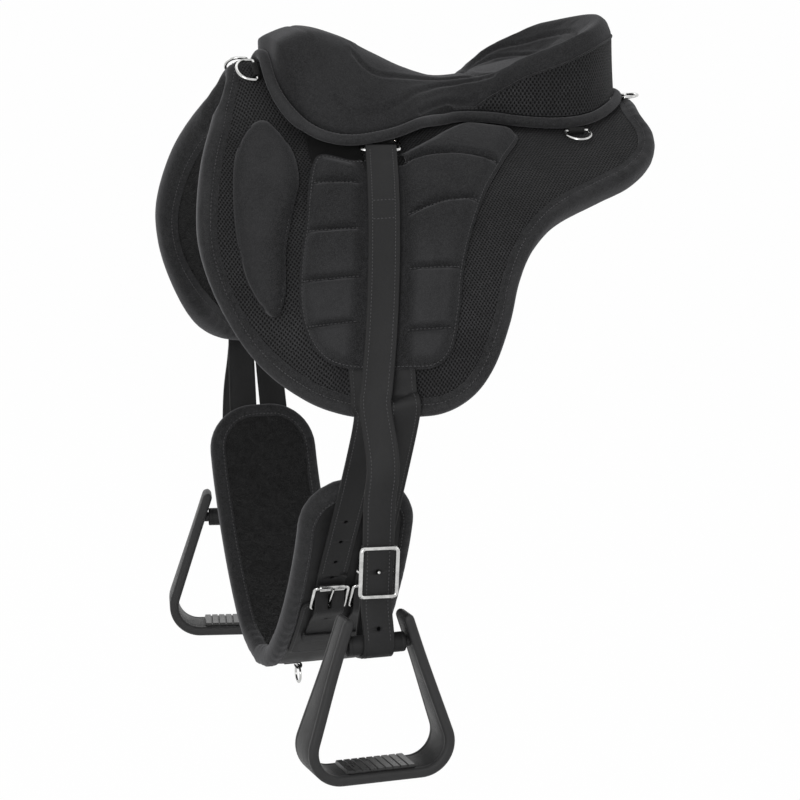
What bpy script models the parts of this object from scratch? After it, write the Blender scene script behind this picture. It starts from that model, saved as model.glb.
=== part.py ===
# Treeless saddle with stirrups and a short girth, modelled at real size in metres.
# -X is the horse's head, +X its tail, -Y the near (left) side, +Z up.
# The origin lies on the underside of the saddle over the horse's spine.

import math

import bmesh
import bpy
import numpy as np
from mathutils import Matrix, Vector

# Driving dimensions of the saddle body
PAD_THICK = 0.012          # foam pad covered in mesh fabric
FLEECE_THICK = 0.010       # plush lining against the horse
BINDING_WIDTH = 0.013      # suede strip sewn round the edge
CHANNEL_FRONT = 0.034      # half width of the channel between the two linings, at the withers
CHANNEL_REAR = 0.017       # and at the back
GAP = 0.0003               # clearance between pieces that touch
RIDGE_ROUND = 0.0195       # rounding of the ridge over the spine
POMMEL_LIFT = 0.034        # extra height of the arch over the withers
POMMEL_WIDTH = 0.055       # how far down the sides that arch fades out

# Straps and metalwork
LEATHER_WIDTH = 0.032
LEATHER_THICK = 0.0034
BILLET_WIDTH = 0.031
BILLET_THICK = 0.003
HOLE_SPACING = 0.025
WIRE = 0.0016              # radius of the saddle ring wire
RING_WIDTH = 0.030         # outside width of a saddle ring
STIRRUP_BAR_X = -0.113
STIRRUP_BAR_Y = 0.285
STIRRUP_BAR_Z = -0.482
STIRRUP_TURN = {"left": 3.0, "right": -12.0}    # degrees about the vertical, as they hang
SLEEVE_RADIUS = 0.0100
BAR_RADIUS = 0.0055
BAND_THICK = 0.0105
CONWAY_Z = -0.408

# Girth
GIRTH_X = -0.104           # middle of the girth along the horse
GIRTH_HALF = 0.060
GIRTH_THICK = 0.010

# Shape of the back under the saddle: half width, slope beside the ridge, ridge height
HALF_WIDTH = [(-0.27, 0.120), (-0.22, 0.137), (-0.20, 0.150), (-0.16, 0.208), (-0.13, 0.242),
              (-0.10, 0.260), (-0.05, 0.276), (0.0, 0.282), (0.10, 0.278), (0.20, 0.258), (0.32, 0.220)]
RIDGE_SLOPE = [(-0.27, 47), (-0.22, 44), (-0.16, 34), (-0.10, 22), (-0.05, 14), (0.0, 9),
               (0.10, 5), (0.32, 8)]
RIDGE_DIP = 0.009          # ridge height at its lowest, X = 0.08
RIDGE_DIP_X = 0.08

# Outline of the pad's near half, as (x, distance down from the spine)
PAD_OUTLINE = [(-0.191, 0.0), (-0.209, 0.050), (-0.231, 0.118), (-0.243, 0.186), (-0.240, 0.232),
               (-0.226, 0.276), (-0.200, 0.325), (-0.165, 0.371), (-0.125, 0.402), (-0.080, 0.417),
               (-0.040, 0.424), (-0.008, 0.413), (0.016, 0.386), (0.037, 0.342), (0.053, 0.298),
               (0.076, 0.259), (0.112, 0.224), (0.165, 0.194), (0.206, 0.171), (0.236, 0.140),
               (0.248, 0.106), (0.250, 0.060), (0.259, 0.0)]
# Outline of the seat's near half
SEAT_OUTLINE = [(-0.158, 0.0), (-0.157, 0.034), (-0.149, 0.060), (-0.133, 0.087), (-0.110, 0.106),
                (-0.085, 0.115), (-0.058, 0.115), (-0.028, 0.107), (0.0, 0.091), (0.026, 0.071),
                (0.048, 0.061), (0.075, 0.066), (0.100, 0.079), (0.130, 0.089), (0.160, 0.091),
                (0.190, 0.082), (0.217, 0.060), (0.238, 0.030), (0.245, 0.0)]
SEAT_CREST = [(-0.158, 0.091), (-0.140, 0.106), (-0.114, 0.114), (-0.080, 0.105), (-0.040, 0.086),
              (0.0, 0.068), (0.045, 0.053), (0.080, 0.053), (0.120, 0.057), (0.160, 0.065),
              (0.200, 0.081), (0.245, 0.101)]
SEAT_WALL = [(-0.158, 0.020), (0.045, 0.020), (0.080, 0.044), (0.118, 0.070), (0.157, 0.084),
             (0.200, 0.097), (0.245, 0.091)]
# Quilted suede panel and knee roll, closed outlines on one side
QUILT_OUTLINE = [(-0.119, 0.118), (-0.141, 0.190), (-0.154, 0.247), (-0.156, 0.295), (-0.144, 0.334),
                 (-0.118, 0.357), (-0.070, 0.372), (-0.044, 0.376), (-0.026, 0.362), (-0.014, 0.325),
                 (-0.004, 0.282), (0.012, 0.240), (0.038, 0.190), (0.070, 0.143), (0.098, 0.098),
                 (0.070, 0.077), (0.045, 0.071), (0.022, 0.082), (-0.008, 0.105), (-0.040, 0.123),
                 (-0.080, 0.128)]
KNEE_OUTLINE = [(-0.163, 0.066), (-0.185, 0.080), (-0.199, 0.112), (-0.206, 0.165), (-0.205, 0.213),
                (-0.198, 0.247), (-0.180, 0.280), (-0.168, 0.262), (-0.163, 0.215), (-0.151, 0.172),
                (-0.140, 0.138), (-0.140, 0.104), (-0.150, 0.078)]
# Side view of the girth from its near end to the bottom, as (y, z)
GIRTH_CURVE = [(-0.203, -0.335), (-0.172, -0.413), (-0.118, -0.492), (-0.055, -0.550), (0.0, -0.566)]
ROLLER_ALONG = 0.118       # distance of the buckle rollers from the girth's end
BUCKLE_LONG = 0.030
BUCKLE_WIRE = 0.0018
BUCKLE_LIFT = 0.0178       # height of the buckle frames over the middle of the girth
KEEPER_ALONG = 0.197
TAIL_ALONG = 0.2075
PATCH_THICK = 0.0025
BUCKLE_X = {"front": -0.1245, "rear": -0.0835}
BILLET_X = {"front": -0.1085, "rear": -0.0765}

scene_collection = bpy.context.scene.collection
parts = None
cutters = None


def start():
    """Clear the scene and make the two collections."""
    global parts, cutters
    for old in list(bpy.data.objects):
        bpy.data.objects.remove(old, do_unlink=True)
    parts = bpy.data.collections.new("treeless_saddle")
    cutters = bpy.data.collections.new("cutters")
    scene_collection.children.link(parts)
    scene_collection.children.link(cutters)


def material(name, colour, roughness, metallic=0.0):
    made = bpy.data.materials.new(name)
    made.use_nodes = True
    shader = made.node_tree.nodes["Principled BSDF"]
    shader.inputs["Base Color"].default_value = (*colour, 1.0)
    shader.inputs["Roughness"].default_value = roughness
    shader.inputs["Metallic"].default_value = metallic
    made.diffuse_color = (*colour, 1.0)
    return made


def smooth_table(table):
    """A smooth function through (x, y) rows that never overshoots them."""
    xs, ys = np.array(table, float).T
    slope = np.diff(ys) / np.diff(xs)
    inner = np.where(slope[1:] * slope[:-1] > 0,
                     2 * slope[1:] * slope[:-1] / (slope[1:] + slope[:-1] + 1e-12), 0.0)
    tangent = np.concatenate([[slope[0]], inner, [slope[-1]]])

    def value(x):
        x = np.clip(np.asarray(x, float), xs[0], xs[-1])
        i = np.clip(np.searchsorted(xs, x, side="right") - 1, 0, len(xs) - 2)
        step = xs[i + 1] - xs[i]
        u = (x - xs[i]) / step
        return (ys[i] * (1 + 2 * u) * (1 - u) ** 2 + tangent[i] * step * u * (1 - u) ** 2
                + ys[i + 1] * u * u * (3 - 2 * u) + tangent[i + 1] * step * u * u * (u - 1))

    return value


def ease(x, low, high):
    """0 below low, 1 above high, smooth between."""
    u = np.clip((np.asarray(x, float) - low) / (high - low), 0.0, 1.0)
    return u * u * (3 - 2 * u)


half_width = smooth_table(HALF_WIDTH)
ridge_slope = smooth_table(RIDGE_SLOPE)
seat_crest = smooth_table(SEAT_CREST)
seat_wall = smooth_table(SEAT_WALL)


def ridge_height(x):
    front = 0.036 * ((RIDGE_DIP_X - x) / 0.28) ** 2
    rear = 0.012 * ((x - RIDGE_DIP_X) / 0.21) ** 2
    return RIDGE_DIP + np.where(x < RIDGE_DIP_X, front, rear)


def back(x, s):
    """Point on the pad's outer face, s being the distance from the spine, minus on the near side."""
    x = np.asarray(x, float)
    t = np.abs(np.asarray(s, float))
    slope = np.radians(ridge_slope(x))
    bend = (1 - np.sin(slope)) / half_width(x)
    straight = (math.pi / 2 - slope) / bend
    bent = np.minimum(t, straight)
    y = (np.sin(slope + bend * bent) - np.sin(slope)) / bend
    soft = np.sqrt(bent ** 2 + RIDGE_ROUND ** 2) - RIDGE_ROUND
    fall = (np.cos(slope) - np.cos(slope + bend * soft)) / bend + np.maximum(t - straight, 0.0)
    arch = POMMEL_LIFT * ease(x, -0.207, -0.168) * (1 - ease(x, -0.155, 0.010))
    z = ridge_height(x) - fall + arch * np.exp(-(y / POMMEL_WIDTH) ** 2)
    return np.stack(np.broadcast_arrays(x, np.sign(s) * y, z), -1)


def drape(pattern, height):
    """Lay pattern points (x, s) on the back, at a height above the pad's outer face."""
    x, s = pattern[..., 0], pattern[..., 1]
    d = 0.0005
    along = back(x + d, s) - back(x - d, s)
    down = back(x, s + d) - back(x, s - d)
    normal = np.cross(along, down)
    normal /= np.linalg.norm(normal, axis=-1, keepdims=True)
    return back(x, s) + normal * np.asarray(height)[..., None]


def lengthwise(pattern):
    """Unit direction along the horse on the back at pattern points."""
    x, s = pattern[..., 0], pattern[..., 1]
    along = back(x + 0.0005, s) - back(x - 0.0005, s)
    return along / np.linalg.norm(along, axis=-1, keepdims=True)


def even(points, count, closed=False):
    """Resample a polyline at equal steps."""
    points = np.asarray(points, float)
    if closed:
        points = np.vstack([points, points[:1]])
    length = np.concatenate([[0], np.cumsum(np.linalg.norm(np.diff(points, axis=0), axis=1))])
    at = np.linspace(0, length[-1], count + 1)
    if closed:
        at = at[:-1]
    return np.stack([np.interp(at, length, points[:, k]) for k in range(points.shape[1])], -1)


def spline(points, count, closed=False):
    """A smooth curve through control points, resampled at equal steps."""
    p = np.asarray(points, float)
    if closed:
        p = np.vstack([p[-1], p, p[:2]])
    else:
        p = np.vstack([2 * p[0] - p[1], p, 2 * p[-1] - p[-2]])
    pieces = []
    for a, b, c, d in zip(p[:-3], p[1:-2], p[2:-1], p[3:]):
        u = np.linspace(0, 1, 24, endpoint=False)[:, None]
        pieces.append(b + 0.5 * u * (c - a) + u ** 2 * (a - 2.5 * b + 2 * c - 0.5 * d)
                      + u ** 3 * 0.5 * (3 * b - a - 3 * c + d))
    dense = np.vstack(pieces)
    if not closed:
        dense = np.vstack([dense, p[-2]])
    return even(dense, count, closed)


def mirrored(half):
    """Close a near-half outline with its far half."""
    near = np.array(half, float) * (1, -1)
    far = (near * (1, -1))[::-1][1:-1]
    return np.vstack([near, far])


def inset(curve, distance):
    """Move a closed pattern curve inwards."""
    tangent = np.roll(curve, -1, 0) - np.roll(curve, 1, 0)
    tangent /= np.linalg.norm(tangent, axis=1, keepdims=True)
    area = np.sum(curve[:, 0] * np.roll(curve[:, 1], -1) - np.roll(curve[:, 0], -1) * curve[:, 1])
    inward = np.stack([-tangent[:, 1], tangent[:, 0]], -1) * np.sign(area)
    return curve + inward * distance


def edge_distance(pattern, curve):
    flat = pattern.reshape(-1, 1, 2)
    return np.linalg.norm(flat - curve[None], axis=-1).min(1).reshape(pattern.shape[:-1])


def patch(low, right, high, left):
    """Fill a four-sided pattern: low and high run one way, left and right the other."""
    u = np.linspace(0, 1, len(low))[:, None, None]
    v = np.linspace(0, 1, len(left))[None, :, None]
    return ((1 - v) * low[:, None] + v * high[:, None] + (1 - u) * left[None] + u * right[None]
            - (1 - u) * (1 - v) * low[0] - u * (1 - v) * low[-1]
            - (1 - u) * v * high[0] - u * v * high[-1])


def patch_by_index(curve, a, b, c, d):
    """Fill a closed curve between its points a, b, c and d, keeping every point of its rim."""
    def run(i, j):
        return curve[np.arange(i, j + 1) % len(curve)]

    return patch(run(a, b), run(b, c), run(c, d)[::-1], run(d, a + len(curve))[::-1])


def patch_by_corner(curve, corners, nu, nv):
    """Fill a closed curve between the points nearest four corners, in nu by nv cells."""
    a, b, c, d = [int(np.argmin(np.linalg.norm(curve - np.array(p), axis=1))) for p in corners]
    count = len(curve)
    if (b - a) % count > (c - a) % count:
        curve = curve[::-1]
        a, b, c, d = [count - 1 - k for k in (a, b, c, d)]

    def run(i, j, cells):
        return even(curve[np.arange(i, i + (j - i) % count + 1) % count], cells)

    return patch(run(a, b, nu), run(b, c, nv), run(c, d, nu)[::-1], run(d, a, nv)[::-1])


def finish(bm, name, made_of, sharp=40):
    bmesh.ops.recalc_face_normals(bm, faces=bm.faces)
    if bm.calc_volume(signed=True) < 0:
        bmesh.ops.reverse_faces(bm, faces=bm.faces)
    mesh = bpy.data.meshes.new(name)
    bm.to_mesh(mesh)
    bm.free()
    mesh.shade_smooth()
    mesh.set_sharp_from_angle(angle=math.radians(sharp))
    mesh.materials.append(made_of)
    made = bpy.data.objects.new(name, mesh)
    parts.objects.link(made)
    return made


def slab(name, under, over, made_of, sharp=40):
    """A soft sheet: a subdivided plane, extruded, whose two faces are laid on two grids."""
    nu, nv = under.shape[0] - 1, under.shape[1] - 1
    bm = bmesh.new()
    bmesh.ops.create_grid(bm, x_segments=nu, y_segments=nv, size=0.5)
    grown = bmesh.ops.extrude_face_region(bm, geom=bm.faces[:])
    top = {v for v in grown["geom"] if isinstance(v, bmesh.types.BMVert)}
    for v in bm.verts:
        i = round((v.co.x + 0.5) * nu)
        j = round((v.co.y + 0.5) * nv)
        v.co = over[i, j] if v in top else under[i, j]
    return finish(bm, name, made_of, sharp)


def loft(name, rings, made_of, closed=False, sharp=40):
    """Skin rings of points; an open loft gets flat ends."""
    bm = bmesh.new()
    rows = [[bm.verts.new(p) for p in ring] for ring in rings]
    pairs = list(zip(rows, rows[1:]))
    if closed:
        pairs.append((rows[-1], rows[0]))
    for a, b in pairs:
        for k in range(len(a)):
            n = (k + 1) % len(a)
            bm.faces.new((a[k], a[n], b[n], b[k]))
    if not closed:
        bm.faces.new(rows[0])
        bm.faces.new(rows[-1][::-1])
    return finish(bm, name, made_of, sharp)


def wire(name, points, radius, made_of, closed=False, sides=1):
    """A bent wire: a poly curve with a round bevel, made a mesh."""
    curve = bpy.data.curves.new(name, "CURVE")
    curve.dimensions = "3D"
    curve.bevel_depth = radius
    curve.bevel_resolution = sides
    curve.use_fill_caps = not closed
    line = curve.splines.new("POLY")
    line.points.add(len(points) - 1)
    for point, place in zip(line.points, points):
        point.co = (*place, 1.0)
    line.use_cyclic_u = closed
    return meshed(name, curve, made_of)


def meshed(name, curve, made_of):
    """Turn a curve into a welded mesh object."""
    drawn = bpy.data.objects.new(name + "_curve", curve)
    parts.objects.link(drawn)
    bpy.context.view_layer.update()
    mesh = bpy.data.meshes.new_from_object(drawn.evaluated_get(bpy.context.evaluated_depsgraph_get()))
    place = drawn.matrix_world.copy()
    bpy.data.objects.remove(drawn, do_unlink=True)
    bm = bmesh.new()
    bm.from_mesh(mesh)
    bpy.data.meshes.remove(mesh)
    bmesh.ops.remove_doubles(bm, verts=bm.verts, dist=0.00001)
    made = finish(bm, name, made_of)
    made.matrix_world = place
    return made


def outline_solid(name, loops, half_thick, place, made_of):
    """A flat outline with holes, extruded both ways and placed by a matrix."""
    curve = bpy.data.curves.new(name, "CURVE")
    curve.dimensions = "2D"
    curve.fill_mode = "BOTH"
    curve.extrude = half_thick
    for loop in loops:
        line = curve.splines.new("POLY")
        line.points.add(len(loop) - 1)
        for point, flat in zip(line.points, loop):
            point.co = (flat[0], flat[1], 0.0, 1.0)
        line.use_cyclic_u = True
    made = meshed(name, curve, made_of)
    made.matrix_world = place
    return made


def cut(target, cutter, operation="DIFFERENCE"):
    """Apply a boolean and put the cutter away."""
    modifier = target.modifiers.new("cut", "BOOLEAN")
    modifier.operation = operation
    modifier.object = cutter
    bpy.context.view_layer.update()
    graph = bpy.context.evaluated_depsgraph_get()
    mesh = bpy.data.meshes.new_from_object(target.evaluated_get(graph))
    target.modifiers.clear()
    old = target.data
    target.data = mesh
    mesh.name = old.name
    bpy.data.objects.remove(cutter, do_unlink=True)


def block_cutter(centre, axes, size):
    """A box cutter with its own axes."""
    bm = bmesh.new()
    bmesh.ops.create_cube(bm, size=1.0)
    mesh = bpy.data.meshes.new("cutter")
    bm.to_mesh(mesh)
    bm.free()
    made = bpy.data.objects.new("cutter", mesh)
    cutters.objects.link(made)
    made.display_type = "WIRE"
    made.hide_render = True
    turn = Matrix([Vector(a).normalized() * s for a, s in zip(axes, size)]).transposed().to_4x4()
    turn.translation = centre
    made.matrix_world = turn
    return made


def drill(centre, axis, radius, depth, sides=10, stretch=1.0, along=(0, 0, 1)):
    """A round cutter, which may be stretched into a slot along one direction."""
    bm = bmesh.new()
    bmesh.ops.create_cone(bm, cap_ends=True, segments=sides, radius1=radius, radius2=radius, depth=depth)
    mesh = bpy.data.meshes.new("cutter")
    bm.to_mesh(mesh)
    bm.free()
    made = bpy.data.objects.new("cutter", mesh)
    cutters.objects.link(made)
    made.display_type = "WIRE"
    made.hide_render = True
    z = Vector(axis).normalized()
    y = (Vector(along) - Vector(along).dot(z) * z).normalized()
    x = y.cross(z)
    turn = Matrix((x, y * stretch, z)).transposed().to_4x4()
    turn.translation = centre
    made.matrix_world = turn
    return made


def hinge(name, spot, axis, members):
    """An empty on a joint, its Z along the axis, that carries the pieces turning about it."""
    pivot = bpy.data.objects.new(name, None)
    pivot.empty_display_size = 0.02
    pivot.location = spot
    pivot.rotation_euler = Vector(axis).to_track_quat("Z", "Y").to_euler()
    parts.objects.link(pivot)
    bpy.context.view_layer.update()
    for member in members:
        piece = bpy.data.objects[member]
        piece.parent = pivot
        piece.matrix_parent_inverse = pivot.matrix_world.inverted()


SUEDE = MESH = FLEECE = LEATHER = BINDING = STEEL = PLASTIC = TREAD = WEB = None


def make_materials():
    global SUEDE, MESH, FLEECE, LEATHER, BINDING, STEEL, PLASTIC, TREAD, WEB
    SUEDE = material("black_suede", (0.022, 0.022, 0.023), 0.90)
    MESH = material("black_mesh_fabric", (0.014, 0.014, 0.015), 0.75)
    FLEECE = material("black_plush", (0.010, 0.010, 0.010), 0.95)
    LEATHER = material("black_leather", (0.016, 0.016, 0.016), 0.50)
    BINDING = material("black_suede_binding", (0.020, 0.020, 0.020), 0.85)
    STEEL = material("polished_steel", (0.78, 0.78, 0.76), 0.20, 1.0)
    PLASTIC = material("black_stirrup_leather_wrap", (0.018, 0.018, 0.018), 0.42)
    TREAD = material("tread_rubber", (0.020, 0.020, 0.020), 0.60)
    WEB = material("black_nylon_web", (0.012, 0.012, 0.012), 0.70)


PAD_POINTS = 84
SEAT_POINTS = 60
DENSE = 8
FLAP_FRONT, FLAP_REAR = (-0.220, 0.262), (0.022, 0.352)   # where the pad's outline turns its corners
pad_dense = spline(mirrored(PAD_OUTLINE), PAD_POINTS * DENSE, closed=True)
seat_dense = spline(mirrored(SEAT_OUTLINE), SEAT_POINTS * DENSE, closed=True)


def nearest(curve, place):
    return int(np.argmin(np.linalg.norm(curve - np.array(place), axis=1)))


def rim_places():
    """Places along the pad's outline: 14 steps along each flap's foot, 28 across the front and the rear."""
    first, last = [nearest(pad_dense, (x, -t)) for x, t in (FLAP_FRONT, FLAP_REAR)]
    count = len(pad_dense)
    stops = [(first, last, 14), (last, count - last, 28), (count - last, count - first, 14), (count - first, count + first, 28)]
    return np.concatenate([np.linspace(i, j, n, endpoint=False) for i, j, n in stops]).astype(int) % count


def pad_rim(distance):
    return inset(pad_dense, distance)[rim_places()]


def seat_rim(distance):
    return inset(seat_dense, distance)[::DENSE]


def make_base():
    """Foam pad over the back, its two linings and the strip that binds the edge."""
    x, t = pad_dense[:, 0], np.abs(pad_dense[:, 1])
    steep = np.where(x < 0, 1 - ease(t, 0.05, 0.09), ease(x, 0.05, 0.08) * (1 - ease(x, 0.15, 0.18)))
    grid = patch_by_index(pad_rim((BINDING_WIDTH + 0.0014 + 0.0022 * steep)[:, None]), 0, 14, 42, 56)
    level = 0 * grid[..., 0]
    slab("base_pad", drape(grid, level - PAD_THICK), drape(grid, level), MESH)

    edge = inset(pad_dense, BINDING_WIDTH + 0.0035)
    for side, word in ((-1, "left"), (1, "right")):
        channel = np.where(edge[:, 0] > 0, CHANNEL_REAR, CHANNEL_FRONT)
        flap = edge[edge[:, 1] * side > channel]
        corners = [(x, t * side) for x, t in (FLAP_FRONT, FLAP_REAR, (0.240, CHANNEL_REAR), (-0.175, CHANNEL_FRONT))]
        sheet = patch_by_corner(flap, corners, 14, 13)
        level = 0 * sheet[..., 0]
        slab("fleece_" + word, drape(sheet, level - PAD_THICK - FLEECE_THICK),
             drape(sheet, level - PAD_THICK - 0.0018), FLEECE)

    under = -PAD_THICK - FLEECE_THICK - 0.0012
    profile = [(0.0, -0.006), (0.0035, 0.0018), (BINDING_WIDTH, 0.0005),
               (BINDING_WIDTH, under), (0.0035, under - 0.0012), (0.0, under + 0.006)]
    loops = [drape(pad_rim(depth), np.full(PAD_POINTS, height)) for depth, height in profile]
    loft("edge_binding", np.stack(loops, 1), BINDING, closed=True, sharp=50)


BEAD_RADIUS = 0.0054


def bead_height(x):
    """The seat's corded edge lies on the pad, and lifts over the stirrup rings and the billets."""
    return 0.0094 + 0.0094 * ease(x, -0.152, -0.125) * (1 - ease(x, -0.010, 0.020))


def seat_underside(grid):
    """The seat rests on the pad and on the webs that cross it, and its skirt follows the edge."""
    x = grid[..., 0]
    middle = 0.0016 + 0.0056 * ease(x, -0.152, -0.128) * (1 - ease(x, -0.016, 0.010))
    far_in = ease(edge_distance(grid, seat_dense), 0.022, 0.046)
    return middle * far_in + (bead_height(x) - 0.0048) * (1 - far_in)


def seat_top(grid):
    """Top of the cushion: a crest along the middle, the skirt or the cantle's lip at the sides."""
    x = grid[..., 0]
    edge = grid[:, 0]
    lip = (back(edge[:, 0], edge[:, 1])[:, 2] + seat_wall(edge[:, 0]))[:, None]
    w = np.abs(np.linspace(-1, 1, grid.shape[1]))[None]
    power = 1.75 + 0.9 * ease(x, 0.0, 0.12)
    height = seat_crest(x) * (1 - w ** power) + lip * w ** power
    flat = drape(grid, 0.019 + 0 * x)
    return np.stack([flat[..., 0], flat[..., 1], height], -1)


def make_seat():
    """Foam cushion in its suede cover, mesh wall round the cantle and corded edge."""
    half = SEAT_POINTS // 2
    front, rear = 5, half - 5
    grid = patch_by_index(seat_rim(2 * BEAD_RADIUS + 0.0014), front, rear, 2 * half - rear, 2 * half - front)
    slab("seat_cushion", drape(grid, seat_underside(grid)), seat_top(grid), SUEDE, 50)

    turn = np.linspace(0, 2 * math.pi, 6, endpoint=False)
    loops = []
    for a in turn:
        rim = seat_rim(BEAD_RADIUS * (1 - math.cos(a)))
        loops.append(drape(rim, bead_height(rim[:, 0]) + BEAD_RADIUS * math.sin(a)))
    loft("seat_binding", np.stack(loops, 1), BINDING, closed=True, sharp=60)

    first = int(np.argmin(np.abs(seat_rim(0.0)[:half, 0] - 0.060)))
    run = np.arange(first, SEAT_POINTS - first + 1)
    inner, outer = [], []
    for sink, rows in ((2 * BEAD_RADIUS, inner), (2 * BEAD_RADIUS - 0.0016, outer)):
        line = seat_rim(sink)[run]
        foot = drape(line, np.full(len(run), 0.019))
        head = foot.copy()
        foot[:, 2] += bead_height(line[:, 0]) + BEAD_RADIUS - 0.018
        head[:, 2] = back(line[:, 0], line[:, 1])[:, 2] + seat_wall(line[:, 0]) - 0.001
        rows += [foot, (foot + head) / 2, head]
    slab("cantle_gusset", np.stack(inner, 1), np.stack(outer, 1), MESH)


RING_TOP = 0.100               # distance of the hanger ring's upper bar from the spine
STRAP_TOP = 0.123              # distance of the hanger ring's lower bar from the spine
FRONT_SEAMS = (0.133, 0.190, 0.245, 0.291)
REAR_SEAMS = (0.137, 0.190, 0.262, 0.325)


def strap_x(t):
    """The stirrup leather lies a little forward as it goes down the flap."""
    return -0.036 - 0.157 * t


def groove(distance, width):
    return np.exp(-(distance / width) ** 2)


def make_panels():
    """The quilted suede panel and the knee roll on each flap."""
    for side, word in ((-1, "left"), (1, "right")):
        outline = spline(np.array(QUILT_OUTLINE) * (1, side), 480, closed=True)
        corners = [(x, side * t) for x, t in ((-0.119, 0.121), (-0.140, 0.340), (-0.032, 0.369), (0.097, 0.099))]
        grid = patch_by_corner(outline, corners, 18, 9)
        x, t = grid[..., 0], np.abs(grid[..., 1])
        inside = edge_distance(grid, outline)
        lap = 0.0008 * (1 - ease(t, 0.175, 0.200))
        over_billets = ease(x, -0.144, -0.132) * (1 - ease(x, -0.046, -0.034))
        under = 0.0014 + (0.0040 + lap) * np.maximum(ease(inside, 0.0, 0.008), over_billets)
        inwards = ease(inside, 0.0, 0.016)
        seams = np.where(x < strap_x(t), sum(groove(t - k, 0.005) for k in FRONT_SEAMS),
                         sum(groove(t - k, 0.005) for k in REAR_SEAMS))
        valley = ease(np.abs(x - strap_x(t)), 0.026, 0.038)
        over = under + 0.0016 + 0.0075 * inwards * valley * (1 - 0.8 * np.minimum(seams, 1))
        panel = slab("quilted_panel_" + word, drape(grid, under), drape(grid, over), SUEDE)
        middle = np.array([strap_x(0.119), side * 0.119])
        out, down, across = surface_frame(middle)
        notch = block_cutter(drape(middle, 0.008), (across, down, out), (0.044, 0.052, 0.030))
        cut(panel, notch)

        outline = spline(np.array(KNEE_OUTLINE) * (1, side), 320, closed=True)
        corners = [(x, side * t) for x, t in ((-0.186, 0.082), (-0.195, 0.255), (-0.170, 0.268), (-0.149, 0.078))]
        grid = patch_by_corner(outline, corners, 14, 5)
        inwards = np.clip(edge_distance(grid, outline) / 0.020, 0, 1)
        over = 0.0045 + 0.0120 * np.sqrt(1 - (1 - inwards) ** 2)
        slab("knee_roll_" + word, drape(grid, 0.0030 + 0 * over), drape(grid, over), SUEDE)


def surface_frame(place):
    """Outward normal, downhill and lengthwise directions of the back at a pattern point."""
    here = drape(place, 0.0)
    out = drape(place, 0.001) - here
    side = math.copysign(1.0, place[1]) if place[1] else -1.0
    down = back(place[0], place[1] + side * 0.001) - here
    out, down = Vector(out).normalized(), Vector(down).normalized()
    return out, down, down.cross(out) if side < 0 else out.cross(down)


def circle(radius, sides=12, start=0.0):
    turn = start + np.linspace(0, 2 * math.pi, sides, endpoint=False)
    return np.stack([radius * np.cos(turn), radius * np.sin(turn)], -1)


def arc(centre, radius, start, end, count):
    turn = np.radians(np.linspace(start, end, count))
    return [(centre[0] + radius * math.cos(a), centre[1] + radius * math.sin(a)) for a in turn]


def placed(flat, origin, first, second):
    """Turn flat (a, b) points into space along two directions from an origin."""
    return [Vector(origin) + Vector(first) * a + Vector(second) * b for a, b in flat]


def frame_matrix(origin, x, y, z):
    made = Matrix([Vector(x), Vector(y), Vector(z)]).transposed().to_4x4()
    made.translation = Vector(origin)
    return made


def keyhole(eye, bore, tail, low, high):
    """A strap end folded round a bar: an eye with a flat tail, and the bore through it."""
    lean = math.degrees(math.asin(high / eye))
    foot = math.degrees(math.asin(low / eye))
    ring = arc((0, 0), eye, -180 - foot, 180 - lean, 9)
    return [ring + [(-tail, high), (-tail, low)], circle(bore, 8)]


def make_saddle_rings():
    """Five rings on tabs that come from under the seat: two at the front, three at the rear."""
    spots = {"front_left": ((-0.163, -0.024), "forward"), "front_right": ((-0.163, 0.024), "forward"),
             "rear_left": ((0.163, -0.096), "down"), "rear_right": ((0.163, 0.096), "down"),
             "rear_centre": ((0.2465, 0.0), "rear")}
    half = RING_WIDTH / 2 - WIRE
    for word, (spot, way) in spots.items():
        out, down, across = surface_frame(np.array(spot))
        if way == "down":
            reach = down
        elif way == "rear":
            reach = Vector((1, 0, 0)) - out * out.x
        else:
            reach = -(Vector((1, 0, 0)) - out * out.x)
        reach.normalize()
        bar = out.cross(reach)
        origin = Vector(drape(np.array(spot), 0.0046))
        flat = [(0.0, -half), (0.0055, -half)] + arc((0.0068, 0), half, -75, 75, 8) + [(0.0055, half), (0.0, half)]
        flat = [(0.0, 0.0)] + flat[::-1]
        ring = wire("saddle_ring_" + word, placed(flat, (0, 0, 0), (1, 0, 0), (0, 1, 0)), WIRE, STEEL, closed=True)
        ring.matrix_world = frame_matrix(origin, reach, bar, out)
        hinge("ring_pivot_" + word, origin, -bar, ["saddle_ring_" + word])
        outline_solid("ring_tab_" + word, keyhole(0.0036, WIRE + GAP, 0.022, -0.0034, -0.0018),
                      0.0085, frame_matrix(origin, reach, out, -bar), WEB)


def ribbon(name, centre, across, width, thick, made_of):
    """A flat strap along a line; across gives the direction of its width at each point."""
    centre, across = np.asarray(centre, float), np.asarray(across, float)
    run = np.gradient(centre, axis=0)
    run /= np.linalg.norm(run, axis=1, keepdims=True)
    across = across - run * np.sum(across * run, axis=1, keepdims=True)
    across /= np.linalg.norm(across, axis=1, keepdims=True)
    face = np.cross(run, across)
    sides = [centre + across * width * k for k in (-0.5, 0.5)]
    grid = np.stack(sides, 1)
    return slab(name, grid - face[:, None] * thick / 2, grid + face[:, None] * thick / 2, made_of, 30)


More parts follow.
